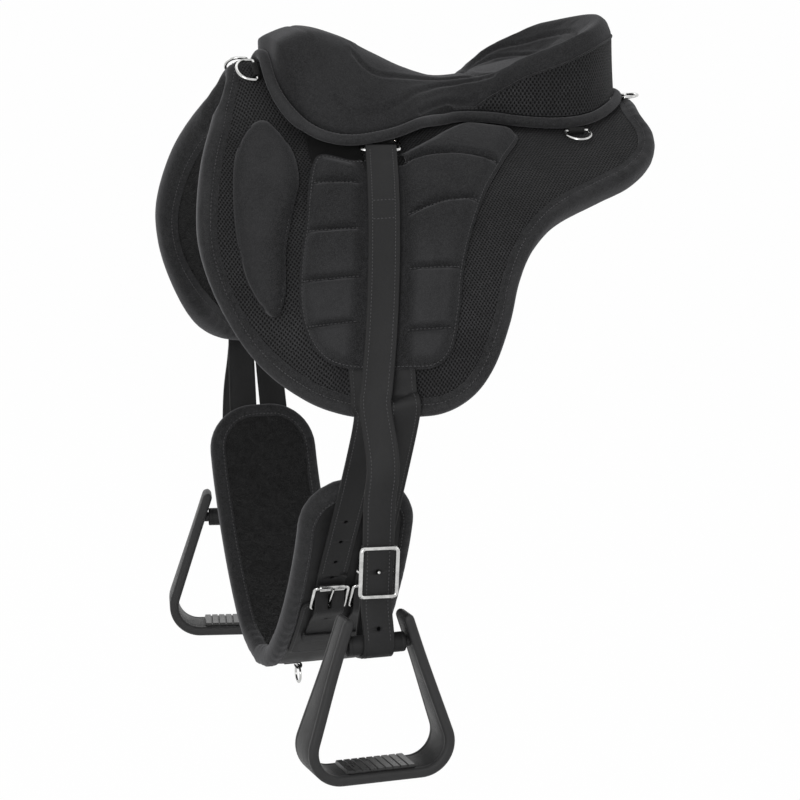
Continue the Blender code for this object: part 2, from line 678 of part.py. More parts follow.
def make_webs():
    """Webs that cross the pad under the seat and carry the stirrup rings and the billets."""
    cross = np.linspace(-0.124, -0.072, 4)[:, None]
    down = np.linspace(-0.146, 0.146, 25)[None]
    grid = np.stack(np.broadcast_arrays(cross, down), -1)
    level = 0 * grid[..., 0]
    slab("girth_web", drape(grid, level + 0.0012), drape(grid, level + 0.0022), WEB)

    eye = 0.0035
    middle = np.linspace(-0.088, 0.088, 23)
    pattern = np.stack([strap_x(np.abs(middle)), middle], -1)
    path = [Vector(p) for p in drape(pattern, np.full(23, 0.0040))]
    lay = [Vector(v) for v in lengthwise(pattern)]
    for side in (-1, 1):
        spot = np.array((strap_x(RING_TOP), side * RING_TOP))
        out, down, across = surface_frame(spot)
        hub = Vector(drape(spot, 0.0069))
        loop = [hub - out * eye * math.cos(a) + down * eye * math.sin(a)
                for a in np.radians(np.linspace(10, 180, 7))]
        loop += [hub + out * 0.0026 - down * 0.004, hub + out * 0.0004 - down * 0.010,
                 hub - out * 0.0004 - down * 0.016]
        flat = [Vector(leather_line(side, "left")[2][0])] * len(loop)
        path = path + loop if side > 0 else loop[::-1] + path
        lay = lay + flat if side > 0 else flat + lay
    ribbon("hanger_web", [tuple(p) for p in path], [tuple(v) for v in lay], 0.030, 0.0016, WEB)


def leather_line(side, word):
    """Middle of the folded stirrup leather, from the hanger ring's lower bar to the stirrup bar."""
    t = np.linspace(STRAP_TOP, 0.40, 18)
    pattern = np.stack([strap_x(t), side * t], -1)
    flap = drape(pattern, 0.0124 + 0.0036 * ease(t, 0.34, 0.39))
    bar = np.array((STIRRUP_BAR_X, side * STIRRUP_BAR_Y, STIRRUP_BAR_Z))
    free = [(-0.1045, side * 0.2850, -0.300), (-0.1085, side * 0.2855, -0.340),
            (-0.1105, side * 0.2850, -0.400), (-0.1125, side * 0.2850, -0.450)]
    line = spline(np.vstack([flap, free, bar]), 60)
    run = np.gradient(line, axis=0)
    run /= np.linalg.norm(run, axis=1, keepdims=True)
    turn = math.radians(STIRRUP_TURN[word])
    hang = np.array((math.cos(turn), math.sin(turn), 0.0))
    lay = lengthwise(pattern)
    lay = np.stack([np.interp(-line[:, 2], -flap[:, 2], lay[:, k]) for k in range(3)], -1)
    free = ease(-line[:, 2], 0.20, 0.44)[:, None]
    across = lay * (1 - free) + hang * free
    across -= run * np.sum(across * run, axis=1, keepdims=True)
    across /= np.linalg.norm(across, axis=1, keepdims=True)
    out = np.cross(run, across)
    out *= np.sign(out[:, 1:2]) * side
    return line, run, across, out


def make_leathers():
    for side, word in ((-1, "left"), (1, "right")):
        line, run, across, out = leather_line(side, word)
        length = np.concatenate([[0], np.cumsum(np.linalg.norm(np.diff(line, axis=0), axis=1))])
        full = length[-1]
        ring_eye = 0.0020 + GAP + LEATHER_THICK / 2
        sleeve_eye = SLEEVE_RADIUS + GAP + LEATHER_THICK / 2

        def at(a, value):
            return np.stack([np.interp(a, length, value[:, k]) for k in range(3)], -1)

        def apart(a):
            near_ring = (ring_eye - 0.0019) * (1 - ease(a, 0.002, 0.020))
            near_bar = (sleeve_eye - 0.0019) * ease(a, full - 0.045, full - 0.004)
            return 0.0019 + near_ring + near_bar

        def layer(a, sign):
            a = np.asarray(a)
            return at(a, line) + at(a, out) * (sign * apart(a))[:, None]

        top, low = line[0], line[-1]
        bend = np.radians(np.linspace(0, 180, 9))[1:-1, None]
        over = top + ring_eye * (-np.cos(bend) * out[0] - np.sin(bend) * run[0])
        round_bar = low + sleeve_eye * (np.cos(bend) * out[-1] + np.sin(bend) * run[-1])
        tail = np.linspace(0.052, 0.0, 4)
        long = np.concatenate([np.linspace(0.0, 0.35, 18), np.linspace(0.38, full, 7)])
        back_up = np.linspace(full, full - 0.100, 7)
        path = np.vstack([layer(tail, -1), over, layer(long, 1), round_bar, layer(back_up, -1)])
        wide = np.vstack([at(tail, across), np.tile(across[0], (7, 1)), at(long, across),
                          np.tile(across[-1], (7, 1)), at(back_up, across)])
        strap = ribbon("stirrup_leather_" + word, path, wide, LEATHER_WIDTH, LEATHER_THICK, LEATHER)

        def spot(z):
            a = float(np.interp(-z, -line[:, 2], length))
            return a, [Vector(at(a, v)) for v in (line, run, across, out)]

        a, (hub, down, sideways, outward) = spot(CONWAY_Z)
        for v in (down, sideways, outward):
            v.normalize()
        cut(strap, drill(hub, outward, 0.0027, 0.030, sides=8))
        hole = at(a + 0.056, line) + at(a + 0.056, out) * apart(np.array(a + 0.056))
        cut(strap, drill(Vector(hole), outward, 0.0024, 0.008, sides=8))
        make_conway(word, hub, down, sideways, outward)

        upper = Vector(drape(np.array((strap_x(RING_TOP), side * RING_TOP)), 0.0069))
        lower = Vector(top)
        climb = upper - lower
        tall = climb.length
        climb.normalize()
        half = LEATHER_WIDTH / 2 + 0.0014 + 0.0020
        flat = rounded([(-half, 0), (half, 0), (half, tall), (-half, tall)], 0.003, 3)
        wire("hanger_ring_" + word, placed(flat, lower, across[0], climb), 0.0020, STEEL, closed=True, sides=1)
        outwards = Vector(across[0]) * (1 if across[0][0] * side > 0 else -1)
        hinge("leather_pivot_" + word, top, outwards, ["stirrup_leather_" + word, "conway_buckle_" + word])
        make_stirrup(side, word, Vector(low), Vector(across[-1]).normalized())


def rounded(corners, radius, steps):
    """A closed polygon with its corners rounded."""
    made = []
    count = len(corners)
    for k in range(count):
        here = Vector(corners[k])
        before = (Vector(corners[k - 1]) - here).normalized()
        after = (Vector(corners[(k + 1) % count]) - here).normalized()
        corner_arc = fillet(here, before, after, radius, steps)
        made += [tuple(p) for p in corner_arc]
    return made


def fillet(here, before, after, radius, steps):
    """Points of an arc that rounds the corner between two unit directions."""
    half = before.angle(after) / 2
    reach = radius / math.tan(half)
    start, end = here + before * reach, here + after * reach
    middle = here + (before + after).normalized() * (radius / math.sin(half))
    a, b = start - middle, end - middle
    whole = a.angle(b)
    points = []
    for k in range(steps + 1):
        u = k / steps
        points.append(middle + (a * math.sin((1 - u) * whole) + b * math.sin(u * whole)) / math.sin(whole))
    return points


def make_conway(word, hub, down, sideways, outward):
    """A buckle whose outer frame lies over the leather and whose pin bar lies behind it."""
    radius = 0.0020
    lift = 0.0064
    half_wide = LEATHER_WIDTH / 2 + 0.0006 + radius
    half_tall = 0.0245
    flat = rounded([(-half_wide, -half_tall), (half_wide, -half_tall),
                    (half_wide, half_tall), (-half_wide, half_tall)], 0.004, 2)
    front = hub + outward * lift
    buckle = wire("conway_buckle_" + word, placed(flat, front, sideways, down), radius, STEEL, closed=True)
    dip = [(-half_wide, 0.0), (-half_wide, -lift * 2 + 0.002), (-half_wide + 0.002, -lift * 2),
           (half_wide - 0.002, -lift * 2), (half_wide, -lift * 2 + 0.002), (half_wide, 0.0)]
    bar = wire("bar", placed(dip, front, sideways, outward), radius * 0.9, STEEL)
    cut(buckle, bar, "UNION")
    pin = wire("pin", [hub - outward * lift, hub + outward * 0.0072], 0.0018, STEEL)
    cut(buckle, pin, "UNION")


def make_stirrup(side, word, bar, along):
    """Band stirrup: slanting arms, wide ribbed tread, and the leather's sleeve on its bar."""
    up = Vector((0, 0, 1))
    along = (along - up * along.z).normalized()
    deep = along.cross(up)
    top, foot = (0.030, 0.030), (0.083, -0.1308)
    corner = fillet(Vector(foot), (Vector(top) - Vector(foot)).normalized(), Vector((-1, 0)), 0.030, 6)
    half_path = [Vector(top), Vector(top).lerp(Vector(foot), 0.25), Vector(top).lerp(Vector(foot), 0.5)]
    half_path += corner + [Vector((0.026, foot[1]))]
    path = [Vector((-p.x, p.y)) for p in half_path] + [Vector((0, foot[1]))] + half_path[::-1]
    rings = []
    for k, point in enumerate(path):
        before, after = path[max(k - 1, 0)], path[min(k + 1, len(path) - 1)]
        run = (after - before).normalized()
        inward = Vector((-run.y, run.x))
        wide = 0.031 + 0.019 * float(ease(-point.y, 0.0, 0.115))
        section = rounded([(-BAND_THICK / 2, -wide / 2), (BAND_THICK / 2, -wide / 2),
                           (BAND_THICK / 2, wide / 2), (-BAND_THICK / 2, wide / 2)], 0.003, 1)
        rings.append([bar + along * (point.x + inward.x * a) + up * (point.y + inward.y * a) + deep * b
                      for a, b in section])
    frame = loft("stirrup_frame_" + word, rings, PLASTIC, sharp=35)
    rod = wire("rod", [bar - along * 0.037, bar + along * 0.037], BAR_RADIUS, PLASTIC)
    cut(frame, rod, "UNION")
    outline_solid("stirrup_sleeve_" + word, [circle(SLEEVE_RADIUS, 16), circle(BAR_RADIUS + 0.0004, 16)],
                  0.0302, frame_matrix(bar, up, deep, along), PLASTIC)
    level = foot[1] + BAND_THICK / 2 + GAP
    pitch, ribs = 0.0080, 9
    comb = [(-pitch * ribs / 2, level), (pitch * ribs / 2, level)]
    for k in range(ribs):
        x = pitch * (ribs / 2 - k)
        comb += [(x - 0.0008, level + 0.0032), (x - pitch + 0.0012, level + 0.0032)]
        if k < ribs - 1:
            comb += [(x - pitch + 0.0004, level + 0.0016), (x - pitch - 0.0002, level + 0.0016)]
    outline_solid("tread_pad_" + word, [comb], 0.0190, frame_matrix(bar, along, up, -deep), TREAD)
    hinge("stirrup_pivot_" + word, bar, along * (1 if along.x * side > 0 else -1),
          ["stirrup_frame_" + word, "tread_pad_" + word])
    bpy.context.view_layer.update()
    for member in ("stirrup_pivot_" + word, "stirrup_sleeve_" + word):
        piece = bpy.data.objects[member]
        piece.parent = bpy.data.objects["leather_pivot_" + word]
        piece.matrix_parent_inverse = piece.parent.matrix_world.inverted()


girth_half = spline(GIRTH_CURVE, 60)
girth_line = np.vstack([girth_half, (girth_half * (-1, 1))[::-1][1:]])
girth_run = np.concatenate([[0], np.cumsum(np.linalg.norm(np.diff(girth_line, axis=0), axis=1))])
GIRTH_LENGTH = girth_run[-1]
girth_way = np.gradient(girth_line, axis=0)
girth_way /= np.linalg.norm(girth_way, axis=1, keepdims=True)


def girth(x, q, height):
    """Point on the girth, q along it from the near end, height out from its middle."""
    x, q, height = np.broadcast_arrays(np.asarray(x, float), q, height)
    y, z, ty, tz = [np.interp(q, girth_run, v) for v in (*girth_line.T, *girth_way.T)]
    return np.stack([x, y + tz * height, z - ty * height], -1)


def pill(x0, x1, q0, q1, radius, count):
    """A rounded rectangle in the girth's pattern, evenly sampled."""
    return even(rounded([(x0, q0), (x1, q0), (x1, q1), (x0, q1)], radius, 8), count, closed=True)


def girth_sheet(name, box, radius, low, high, cells, made_of):
    x0, x1, q0, q1 = box
    outline = pill(*box, radius, 400)
    r = radius * 0.30
    corners = ((x0 + r, q0 + r), (x0 + r, q1 - r), (x1 - r, q1 - r), (x1 - r, q0 + r))
    grid = patch_by_corner(outline, corners, *cells)
    lay = [girth(grid[..., 0], grid[..., 1], h) for h in (low, high)]
    return slab(name, lay[0], lay[1], made_of)


def make_girth():
    """Short padded girth: leather outside, plush inside, a patch with buckles at each end."""
    x0, x1 = GIRTH_X - GIRTH_HALF, GIRTH_X + GIRTH_HALF
    girth_sheet("girth_body", (x0, x1, 0.0, GIRTH_LENGTH), 0.050, 0.0, GIRTH_THICK, (28, 4), LEATHER)
    girth_sheet("girth_plush", (x0 + 0.008, x1 - 0.008, 0.008, GIRTH_LENGTH - 0.008), 0.044,
                -0.0098, -0.0018, (24, 3), FLEECE)
    for side, word in ((-1, "left"), (1, "right")):
        def q(distance):
            return distance if side < 0 else GIRTH_LENGTH - distance

        bar_q = ROLLER_ALONG + BUCKLE_LONG
        ends = sorted((q(bar_q - 0.001), q(0.240)))
        face = GIRTH_THICK + 0.0008
        patch_made = girth_sheet("girth_patch_" + word, (x0 + 0.014, x1 - 0.014, *ends), 0.008,
                                 face, face + PATCH_THICK, (6, 2), LEATHER)
        for place, x in BUCKLE_X.items():
            hub = Vector(girth(x, q(bar_q), BUCKLE_LIFT))
            roller = Vector(girth(x, q(ROLLER_ALONG), BUCKLE_LIFT))
            reach = (roller - hub).normalized()
            across = Vector((1, 0, 0))
            out = Vector(girth(x, q(bar_q), 0.05)) - Vector(girth(x, q(bar_q), 0.0))
            out = (out - reach * out.dot(reach)).normalized()
            make_buckle(place + "_" + word, patch_made, hub, reach, across, out)
            keep = Vector(girth(x, q(KEEPER_ALONG), face))
            along = Vector(girth(x, q(KEEPER_ALONG - 0.002), face)) - Vector(girth(x, q(KEEPER_ALONG + 0.002), face))
            along.normalize()
            keep_out = Vector(girth(x, q(KEEPER_ALONG), face + 0.01)) - keep
            keep_out = (keep_out - along * keep_out.dot(along)).normalized()
            wide, tall, skin = BILLET_WIDTH / 2 + 0.0008, 0.0046, 0.0016
            outer = [(-wide - skin, 0.0016), (wide + skin, 0.0016),
                     (wide + skin, 0.0016 + tall + 2 * skin), (-wide - skin, 0.0016 + tall + 2 * skin)]
            inner = [(-wide, 0.0016 + skin), (wide, 0.0016 + skin),
                     (wide, 0.0016 + skin + tall), (-wide, 0.0016 + skin + tall)]
            loop = outline_solid("keeper", [outer, inner], 0.006,
                                 frame_matrix(keep, across, keep_out, across.cross(keep_out)), LEATHER)
            cut(patch_made, loop, "UNION")


def make_buckle(word, patch_made, hub, reach, across, out):
    """Roller buckle: bent wire frame, roller on its upper bar and prong on its lower one."""
    half = BILLET_WIDTH / 2 + 0.0006 + BUCKLE_WIRE
    flat = rounded([(-half, 0), (half, 0), (half, BUCKLE_LONG), (-half, BUCKLE_LONG)], 0.003, 2)
    wire("girth_buckle_" + word, placed(flat, hub, across, reach), BUCKLE_WIRE, STEEL, closed=True)
    side_on = frame_matrix(hub + reach * BUCKLE_LONG, reach, out, reach.cross(out))
    outline_solid("buckle_roller_" + word, [circle(0.0036), circle(BUCKLE_WIRE + GAP)], 0.0130, side_on, STEEL)
    rise = 0.0052
    lean = math.atan2(rise, BUCKLE_LONG)
    thick = 0.0012
    tip = BUCKLE_LONG + 0.0045
    eye = arc((0, 0), 0.0036, 35 + math.degrees(lean), 325 + math.degrees(lean), 8)
    shaft = [(tip, rise * tip / BUCKLE_LONG - thick), (tip + 0.0005, rise * tip / BUCKLE_LONG + thick * 0.4),
             (tip, rise * tip / BUCKLE_LONG + thick)]
    low = [(0.006, rise * 0.2 - thick)]
    high = [(0.006, rise * 0.2 + thick)]
    prong = eye + low + shaft + high
    side_view = frame_matrix(hub, reach, out, reach.cross(out))
    outline_solid("buckle_prong_" + word, [prong, circle(BUCKLE_WIRE + GAP, 8)], 0.0013, side_view, STEEL)
    hinge("prong_pivot_" + word, hub, reach.cross(out), ["buckle_prong_" + word])
    hinge("roller_pivot_" + word, hub + reach * BUCKLE_LONG, reach.cross(out), ["buckle_roller_" + word])
    lean_low = -0.0060
    for way in (-1, 1):
        shape = keyhole(0.0040, BUCKLE_WIRE + GAP, 0.016, -0.0038, -0.0016)
        shape[0][-1] = (-0.016, lean_low)
        shape[0][-2] = (-0.016, lean_low + 0.0030)
        place = hub + across * way * (0.0022 + 0.0125) / 2
        chape = outline_solid("chape", shape, (0.0125 - 0.0022) / 2,
                              frame_matrix(place, reach, out, reach.cross(out)), LEATHER)
        cut(patch_made, chape, "UNION")


def make_billets():
    """Two billets a side, from the web under the seat to the girth's buckles."""
    for side, word in ((-1, "left"), (1, "right")):
        def q(distance):
            return distance if side < 0 else GIRTH_LENGTH - distance

        for place, x in BILLET_X.items():
            t = np.array([0.130, 0.145, 0.16, 0.18, 0.20, 0.225, 0.25, 0.28, 0.31, 0.34, 0.365, 0.378, 0.395, 0.422])
            height = 0.0029 + 0.0010 * (1 - ease(t, 0.155, 0.175)) + 0.0026 * ease(t, 0.378, 0.395)
            pattern = np.stack([np.full(len(t), x), side * t], -1)
            flap = drape(pattern, height)
            hub = BUCKLE_LIFT
            low_x = BUCKLE_X[place]
            bar = ROLLER_ALONG + BUCKLE_LONG
            rows = [(0.088, hub - 0.0040), (0.104, hub - 0.0058), (ROLLER_ALONG, hub - 0.0059),
                    (ROLLER_ALONG + 0.006, hub - 0.0042), (bar - 0.006, hub + 0.0047), (bar + 0.001, hub + 0.0062),
                    (bar + 0.009, hub + 0.0040), (bar + 0.020, hub + 0.0002), (bar + 0.034, hub - 0.0013),
                    (TAIL_ALONG, hub - 0.0013)]
            lie = np.array([girth(low_x, q(d), h) for d, h in rows])
            dense = spline(np.vstack([flap, lie]), 900)
            low = int(np.argmin(np.abs(dense[:, 2] - girth(x, 0.090, 0.0)[2])))
            line = dense[np.concatenate([np.linspace(0, low, 18)[:-1], np.linspace(low, 900, 21)]).astype(int)]
            lay = lengthwise(pattern)
            lay = np.stack([np.interp(-line[:, 2], -flap[:, 2], lay[:, k]) for k in range(3)], -1)
            free = ease(-line[:, 2], 0.22, 0.36)[:, None]
            strap = ribbon("billet_%s_%s" % (place, word), line, lay * (1 - free) + np.array((1.0, 0, 0)) * free,
                           BILLET_WIDTH, BILLET_THICK, LEATHER)
            out = Vector(girth(low_x, q(bar), 0.05)) - Vector(girth(low_x, q(bar), 0.0))
            out.normalize()
            up = Vector(girth(low_x, q(ROLLER_ALONG), hub)) - Vector(girth(low_x, q(bar), hub))
            slot = Vector(girth(low_x, q(bar - 0.0117), hub))
            cut(strap, drill(slot, out, 0.0023, 0.030, sides=8, stretch=3.8, along=up))
            for k in (-3, -2, -1, 1):
                where = Vector(girth(low_x, q(bar - 0.0125 + k * HOLE_SPACING), hub))
                i = int(np.argmin(np.linalg.norm(line - np.array(where), axis=1)))
                run = Vector(line[min(i + 1, len(line) - 1)] - line[i - 1]).normalized()
                face = run.cross(Vector((1, 0, 0)))
                cut(strap, drill(Vector(line[i]), face, 0.0023, 0.012, sides=6))


def make_girth_ring():
    """A small round ring on a leather loop under the middle of the girth."""
    middle = GIRTH_LENGTH / 2
    face = GIRTH_THICK + 0.0009
    radius = 0.0095
    top = Vector(girth(-0.115, middle, face + 0.0048))
    flat = [(radius * math.sin(a), -radius + radius * math.cos(a))
            for a in np.linspace(0, 2 * math.pi, 14, endpoint=False)]
    wire("girth_ring", placed(flat, top, (0, 1, 0), (0, 0, 1)), 0.0013, STEEL, closed=True)
    shape = keyhole(0.0040, 0.0023, 0.016, 0.0026, 0.0038)
    hinge("girth_ring_pivot", top, (0, 1, 0), ["girth_ring"])
    outline_solid("girth_ring_tab", shape, 0.0035, frame_matrix(top, (1, 0, 0), (0, 0, 1), (0, -1, 0)), LEATHER)


def main():
    start()
    make_materials()
    make_base()
    make_seat()
    make_panels()
    make_saddle_rings()
    make_webs()
    make_leathers()
    make_billets()
    make_girth()
    make_girth_ring()


main()
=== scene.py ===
# %% [markdown]
# # A treeless saddle, dressed
# A treeless saddle is a soft thing: a foam pad cut like a pair of wings, a suede seat sewn
# on top, padded panels for the knees, and straps that carry the stirrups and the girth.
# The hard measurements already exist as solids, so this lesson starts from them. Every
# soft solid gets a finer piece in its place, with its own seams, nap and folds, and every
# metal one gets a rounder wire.

# %% Load the solids as a fixed frame
import math

import bpy
import numpy as np
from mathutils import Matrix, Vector


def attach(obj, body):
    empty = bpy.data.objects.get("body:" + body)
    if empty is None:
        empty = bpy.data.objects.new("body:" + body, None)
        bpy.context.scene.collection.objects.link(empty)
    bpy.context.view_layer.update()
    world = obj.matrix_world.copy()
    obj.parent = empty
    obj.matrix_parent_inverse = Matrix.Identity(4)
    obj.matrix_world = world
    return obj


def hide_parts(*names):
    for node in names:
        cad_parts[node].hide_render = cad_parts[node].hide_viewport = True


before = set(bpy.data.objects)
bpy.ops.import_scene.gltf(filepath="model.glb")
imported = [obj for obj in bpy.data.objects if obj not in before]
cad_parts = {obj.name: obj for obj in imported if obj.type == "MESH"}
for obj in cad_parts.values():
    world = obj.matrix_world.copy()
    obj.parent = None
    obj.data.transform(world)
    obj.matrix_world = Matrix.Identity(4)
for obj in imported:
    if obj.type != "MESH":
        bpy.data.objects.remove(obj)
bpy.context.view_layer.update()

SIDES = ((-1, "left"), (1, "right"))

# %% [markdown]
# ## Where the camera stands
# The photograph looks at the near side from a little in front and above, with a long lens,
# so the far flap and the far stirrup show past the front edge. A camera can be turned by
# eye, but the outlines of both flaps and both stirrups give its place by measurement:
# 3.4 m away, 17 degrees towards the head and 11.3 degrees up.

# %% Camera
VIEW_TURN, VIEW_RISE, VIEW_FAR = math.radians(-17.0), math.radians(11.3), 3.40
LOOK_AT = Vector((0.0, 0.0, -0.297))


def hang(name, data, place, target):
    """Put a camera or lamp at a place, turned to a target."""
    hung = bpy.data.objects.new(name, data)
    hung.location = place
    hung.rotation_euler = (Vector(place) - Vector(target)).to_track_quat("Z", "Y").to_euler()
    bpy.context.scene.collection.objects.link(hung)
    return hung


away = Vector((math.sin(VIEW_TURN) * math.cos(VIEW_RISE), -math.cos(VIEW_TURN) * math.cos(VIEW_RISE),
               math.sin(VIEW_RISE)))
lens = bpy.data.cameras.new("camera")
lens.sensor_width, lens.lens = 36.0, 142.65
bpy.context.scene.camera = hang("camera", lens, LOOK_AT + away * VIEW_FAR, LOOK_AT)
print("camera at", [round(v, 3) for v in bpy.context.scene.camera.location])

# %% [markdown]
# ## Small tools for materials
# A material here is a Principled shader with a few texture nodes in front of it. Building
# nodes by hand takes many lines, so a small class does it: it adds a node, a sum, a noise
# or a blend of two colours, and at the end dresses the shader. Values that don't change
# over the surface stay on the shader's own sockets.

# %% Tools for materials
class Nodes:
    """Adds nodes to a tree; an input is a value or another node's output."""

    def __init__(self, tree):
        self.tree = tree

    def join(self, value, socket):
        if isinstance(value, bpy.types.NodeSocket):
            self.tree.links.new(value, socket)
        else:
            socket.default_value = value

    def add(self, kind, inputs=(), **settings):
        node = self.tree.nodes.new("ShaderNode" + kind)
        for key, value in settings.items():
            setattr(node, key, value)
        for key, value in dict(inputs).items():
            self.join(value, node.inputs[key])
        return node

    def maths(self, operation, *terms):
        return self.add("Math", dict(enumerate(terms)), operation=operation).outputs[0]

    def times(self, a, b):
        return self.maths("MULTIPLY", a, b)

    def plus(self, a, b):
        return self.maths("ADD", a, b)

    def noise(self, scale, detail=2.0, rough=0.5, twist=0.0, where=None):
        where = where or self.add("TexCoord").outputs["Object"]
        return self.add("TexNoise", {"Vector": where, "Scale": scale, "Detail": detail,
                                     "Roughness": rough, "Distortion": twist}).outputs["Fac"]

    def between(self, factor, low, high, dark, light):
        """Blend two colours as a factor goes from low to high."""
        ramp = self.add("ValToRGB", {"Fac": factor})
        for end, place, colour in zip(ramp.color_ramp.elements, (low, high), (dark, light)):
            end.position, end.color = place, (*colour, 1)
        return ramp.outputs["Color"]

    def mixed(self, factor, a, b, blend="MIX"):
        a, b = [v if isinstance(v, bpy.types.NodeSocket) else (*v, 1) for v in (a, b)]
        return self.add("Mix", {0: factor, 6: a, 7: b}, data_type="RGBA", blend_type=blend).outputs[2]


class Finish(Nodes):
    """A material; values are the shader's own sockets, with _ for a space."""

    def __init__(self, name, colour, roughness, **values):
        self.made = bpy.data.materials.new(name)
        self.made.use_nodes = True
        super().__init__(self.made.node_tree)
        self.shader = self.tree.nodes["Principled BSDF"]
        for key, value in {"Base_Color": (*colour, 1.0), "Roughness": roughness, **values}.items():
            self.shader.inputs[key.replace("_", " ")].default_value = value
        self.made.diffuse_color = (*colour, 1.0)

    def dress(self, colour, height, depth, strength, roughness=None):
        self.join(colour, self.shader.inputs["Base Color"])
        if roughness is not None:
            self.join(roughness, self.shader.inputs["Roughness"])
        bump = self.add("Bump", {"Strength": strength, "Distance": depth, "Height": height})
        self.join(bump.outputs["Normal"], self.shader.inputs["Normal"])
        return self.made


def grey(level, blue=None):
    return level, level, blue or level


def scaled(colour, share):
    return [c * share for c in colour]


# %% [markdown]
# ## Floor, backdrop and light
# The photograph has a white ground and even light. Black suede is easily lost in it, so
# the light has to be broad: a pale sky all round and four large soft lamps, the strongest
# on the near side towards the head, and weaker ones at the tail, above and on the far
# side. The lamps stay at a level where a colour comes out as written. The white comes
# from the ground itself: the sky is plain white to the camera and in reflections, and the
# floor lies lower, as a stable floor does under a saddle rack, so that its shadow is soft.

# %% Sky
SKY_LIGHT = 0.42
sky = bpy.data.worlds.new("sky")
bpy.context.scene.world = sky
sky.use_nodes = True
sky.node_tree.nodes.clear()


def seen_directly(tree):
    """1 for rays from the camera, in reflections and through glass."""
    path = tree.add("LightPath")
    first = tree.maths("MAXIMUM", path.outputs["Is Camera Ray"], path.outputs["Is Glossy Ray"])
    return tree.maths("MAXIMUM", first, path.outputs["Is Transmission Ray"])


heaven = Nodes(sky.node_tree)
soft_sky, white_sky = [heaven.add("Background", {"Color": (1, 1, 1, 1), "Strength": level}).outputs[0]
                       for level in (SKY_LIGHT, 1.0)]
sky_mix = heaven.add("MixShader", {0: seen_directly(heaven), 1: soft_sky, 2: white_sky})
heaven.add("OutputWorld", {"Surface": sky_mix.outputs[0]})

# %% Floor
FLOOR_HEIGHT, FLOOR_HALF, FLOOR_WHITE = -0.95, 30, 0.985
ground = Finish("pale_floor", grey(0.90), 0.9, Specular_IOR_Level=0.1)
glow = ground.add("Emission", {"Color": (1, 1, 1, 1), "Strength": 1.0})
share = ground.times(seen_directly(ground), FLOOR_WHITE)
floor_mix = ground.add("MixShader", {0: share, 1: ground.shader.outputs[0], 2: glow.outputs[0]})
ground.join(floor_mix.outputs[0], ground.tree.nodes["Material Output"].inputs[0])
floor_mesh = bpy.data.meshes.new("floor")
floor_mesh.from_pydata([(x * FLOOR_HALF, y * FLOOR_HALF, FLOOR_HEIGHT)
                        for x, y in ((-1, -1), (1, -1), (1, 1), (-1, 1))], [], [(0, 1, 2, 3)])
floor_mesh.materials.append(ground.made)
floor = bpy.data.objects.new("floor", floor_mesh)
bpy.context.scene.collection.objects.link(floor)

# %% Lamps
LAMPS = (("near_lamp", (-1.4, -2.9, 0.5), 1.4, 45.0), ("tail_lamp", (2.4, -1.6, 0.6), 1.6, 7.0),
         ("top_lamp", (-0.2, 0.2, 2.4), 1.8, 8.0), ("far_lamp", (-1.0, 2.6, 1.0), 1.6, 11.0))
for name, place, size, power in LAMPS:
    lamp = bpy.data.lights.new(name, "AREA")
    lamp.shape, lamp.size, lamp.energy = "DISK", size, power
    hang(name, lamp, place, (0, 0, -0.2)).visible_camera = False
bpy.context.scene.view_settings.view_transform = "Standard"
print("lamps:", [lamp.name for lamp in bpy.data.lights])

# %% [markdown]
# ## Suede
# Suede is leather with its fibres brushed up. It has no gloss of its own, but the fibres
# catch light at the edge of every crown, and where hands and legs rub it the nap lies
# down in paler patches. A flat dark colour would look like rubber, so three scales are
# mixed: broad brushed patches, a nap of a few millimetres, and specks of single fibres.
# A soft sheen stands for the fibres seen from the side. Crowns and rolled edges carry an
# amount in their points that makes them paler: partly wear of the nap and partly a painted
# highlight where light falls on them.

# %% Suede finishes
# The share per point that makes a surface paler: wear, and a painted highlight.
def wear_and_painted_light_of(made):
    return made.add("Attribute", attribute_name="wear_and_painted_light").outputs["Fac"]


def suede(name, dark, light, speck=0.5, sheen=0.22):
    made = Finish(name, dark, 0.92, Specular_IOR_Level=0.12, Sheen_Weight=sheen, Sheen_Roughness=0.45,
                  Sheen_Tint=(0.55, 0.55, 0.57, 1))
    patches = made.noise(20.0, 4.0, 0.55, 0.9)
    nap = made.noise(260.0, 3.0, 0.6, 0.3)
    fibre = made.noise(1250.0, 2.0, 0.7)
    broad = made.between(patches, 0.32, 0.72, dark, light)
    napped = made.mixed(0.50, broad, made.between(nap, 0.38, 0.66, scaled(dark, 0.45), light))
    specks = made.mixed(speck, napped, made.between(fibre, 0.40, 0.70, scaled(dark, 0.3), scaled(light, 2.7)))
    # Paler where the piece stores wear and painted highlight, more on the brushed patches.
    wear_and_painted_light = wear_and_painted_light_of(made)
    rubbed_and_lit = made.times(made.times(wear_and_painted_light, 0.60), made.plus(patches, 0.35))
    paler = made.mixed(rubbed_and_lit, specks, scaled(light, 1.7))
    return made.dress(paler, made.plus(made.times(nap, 0.8), made.times(fibre, 0.5)), 0.0007, 0.55)


SEAT_SUEDE = suede("black_suede", grey(0.0088, 0.0092), grey(0.0265, 0.0275))
EDGE_SUEDE = suede("black_suede_binding", grey(0.0150, 0.0155), grey(0.0310, 0.0320), 0.4, 0.3)
print("suedes:", SEAT_SUEDE.name, EDGE_SUEDE.name)
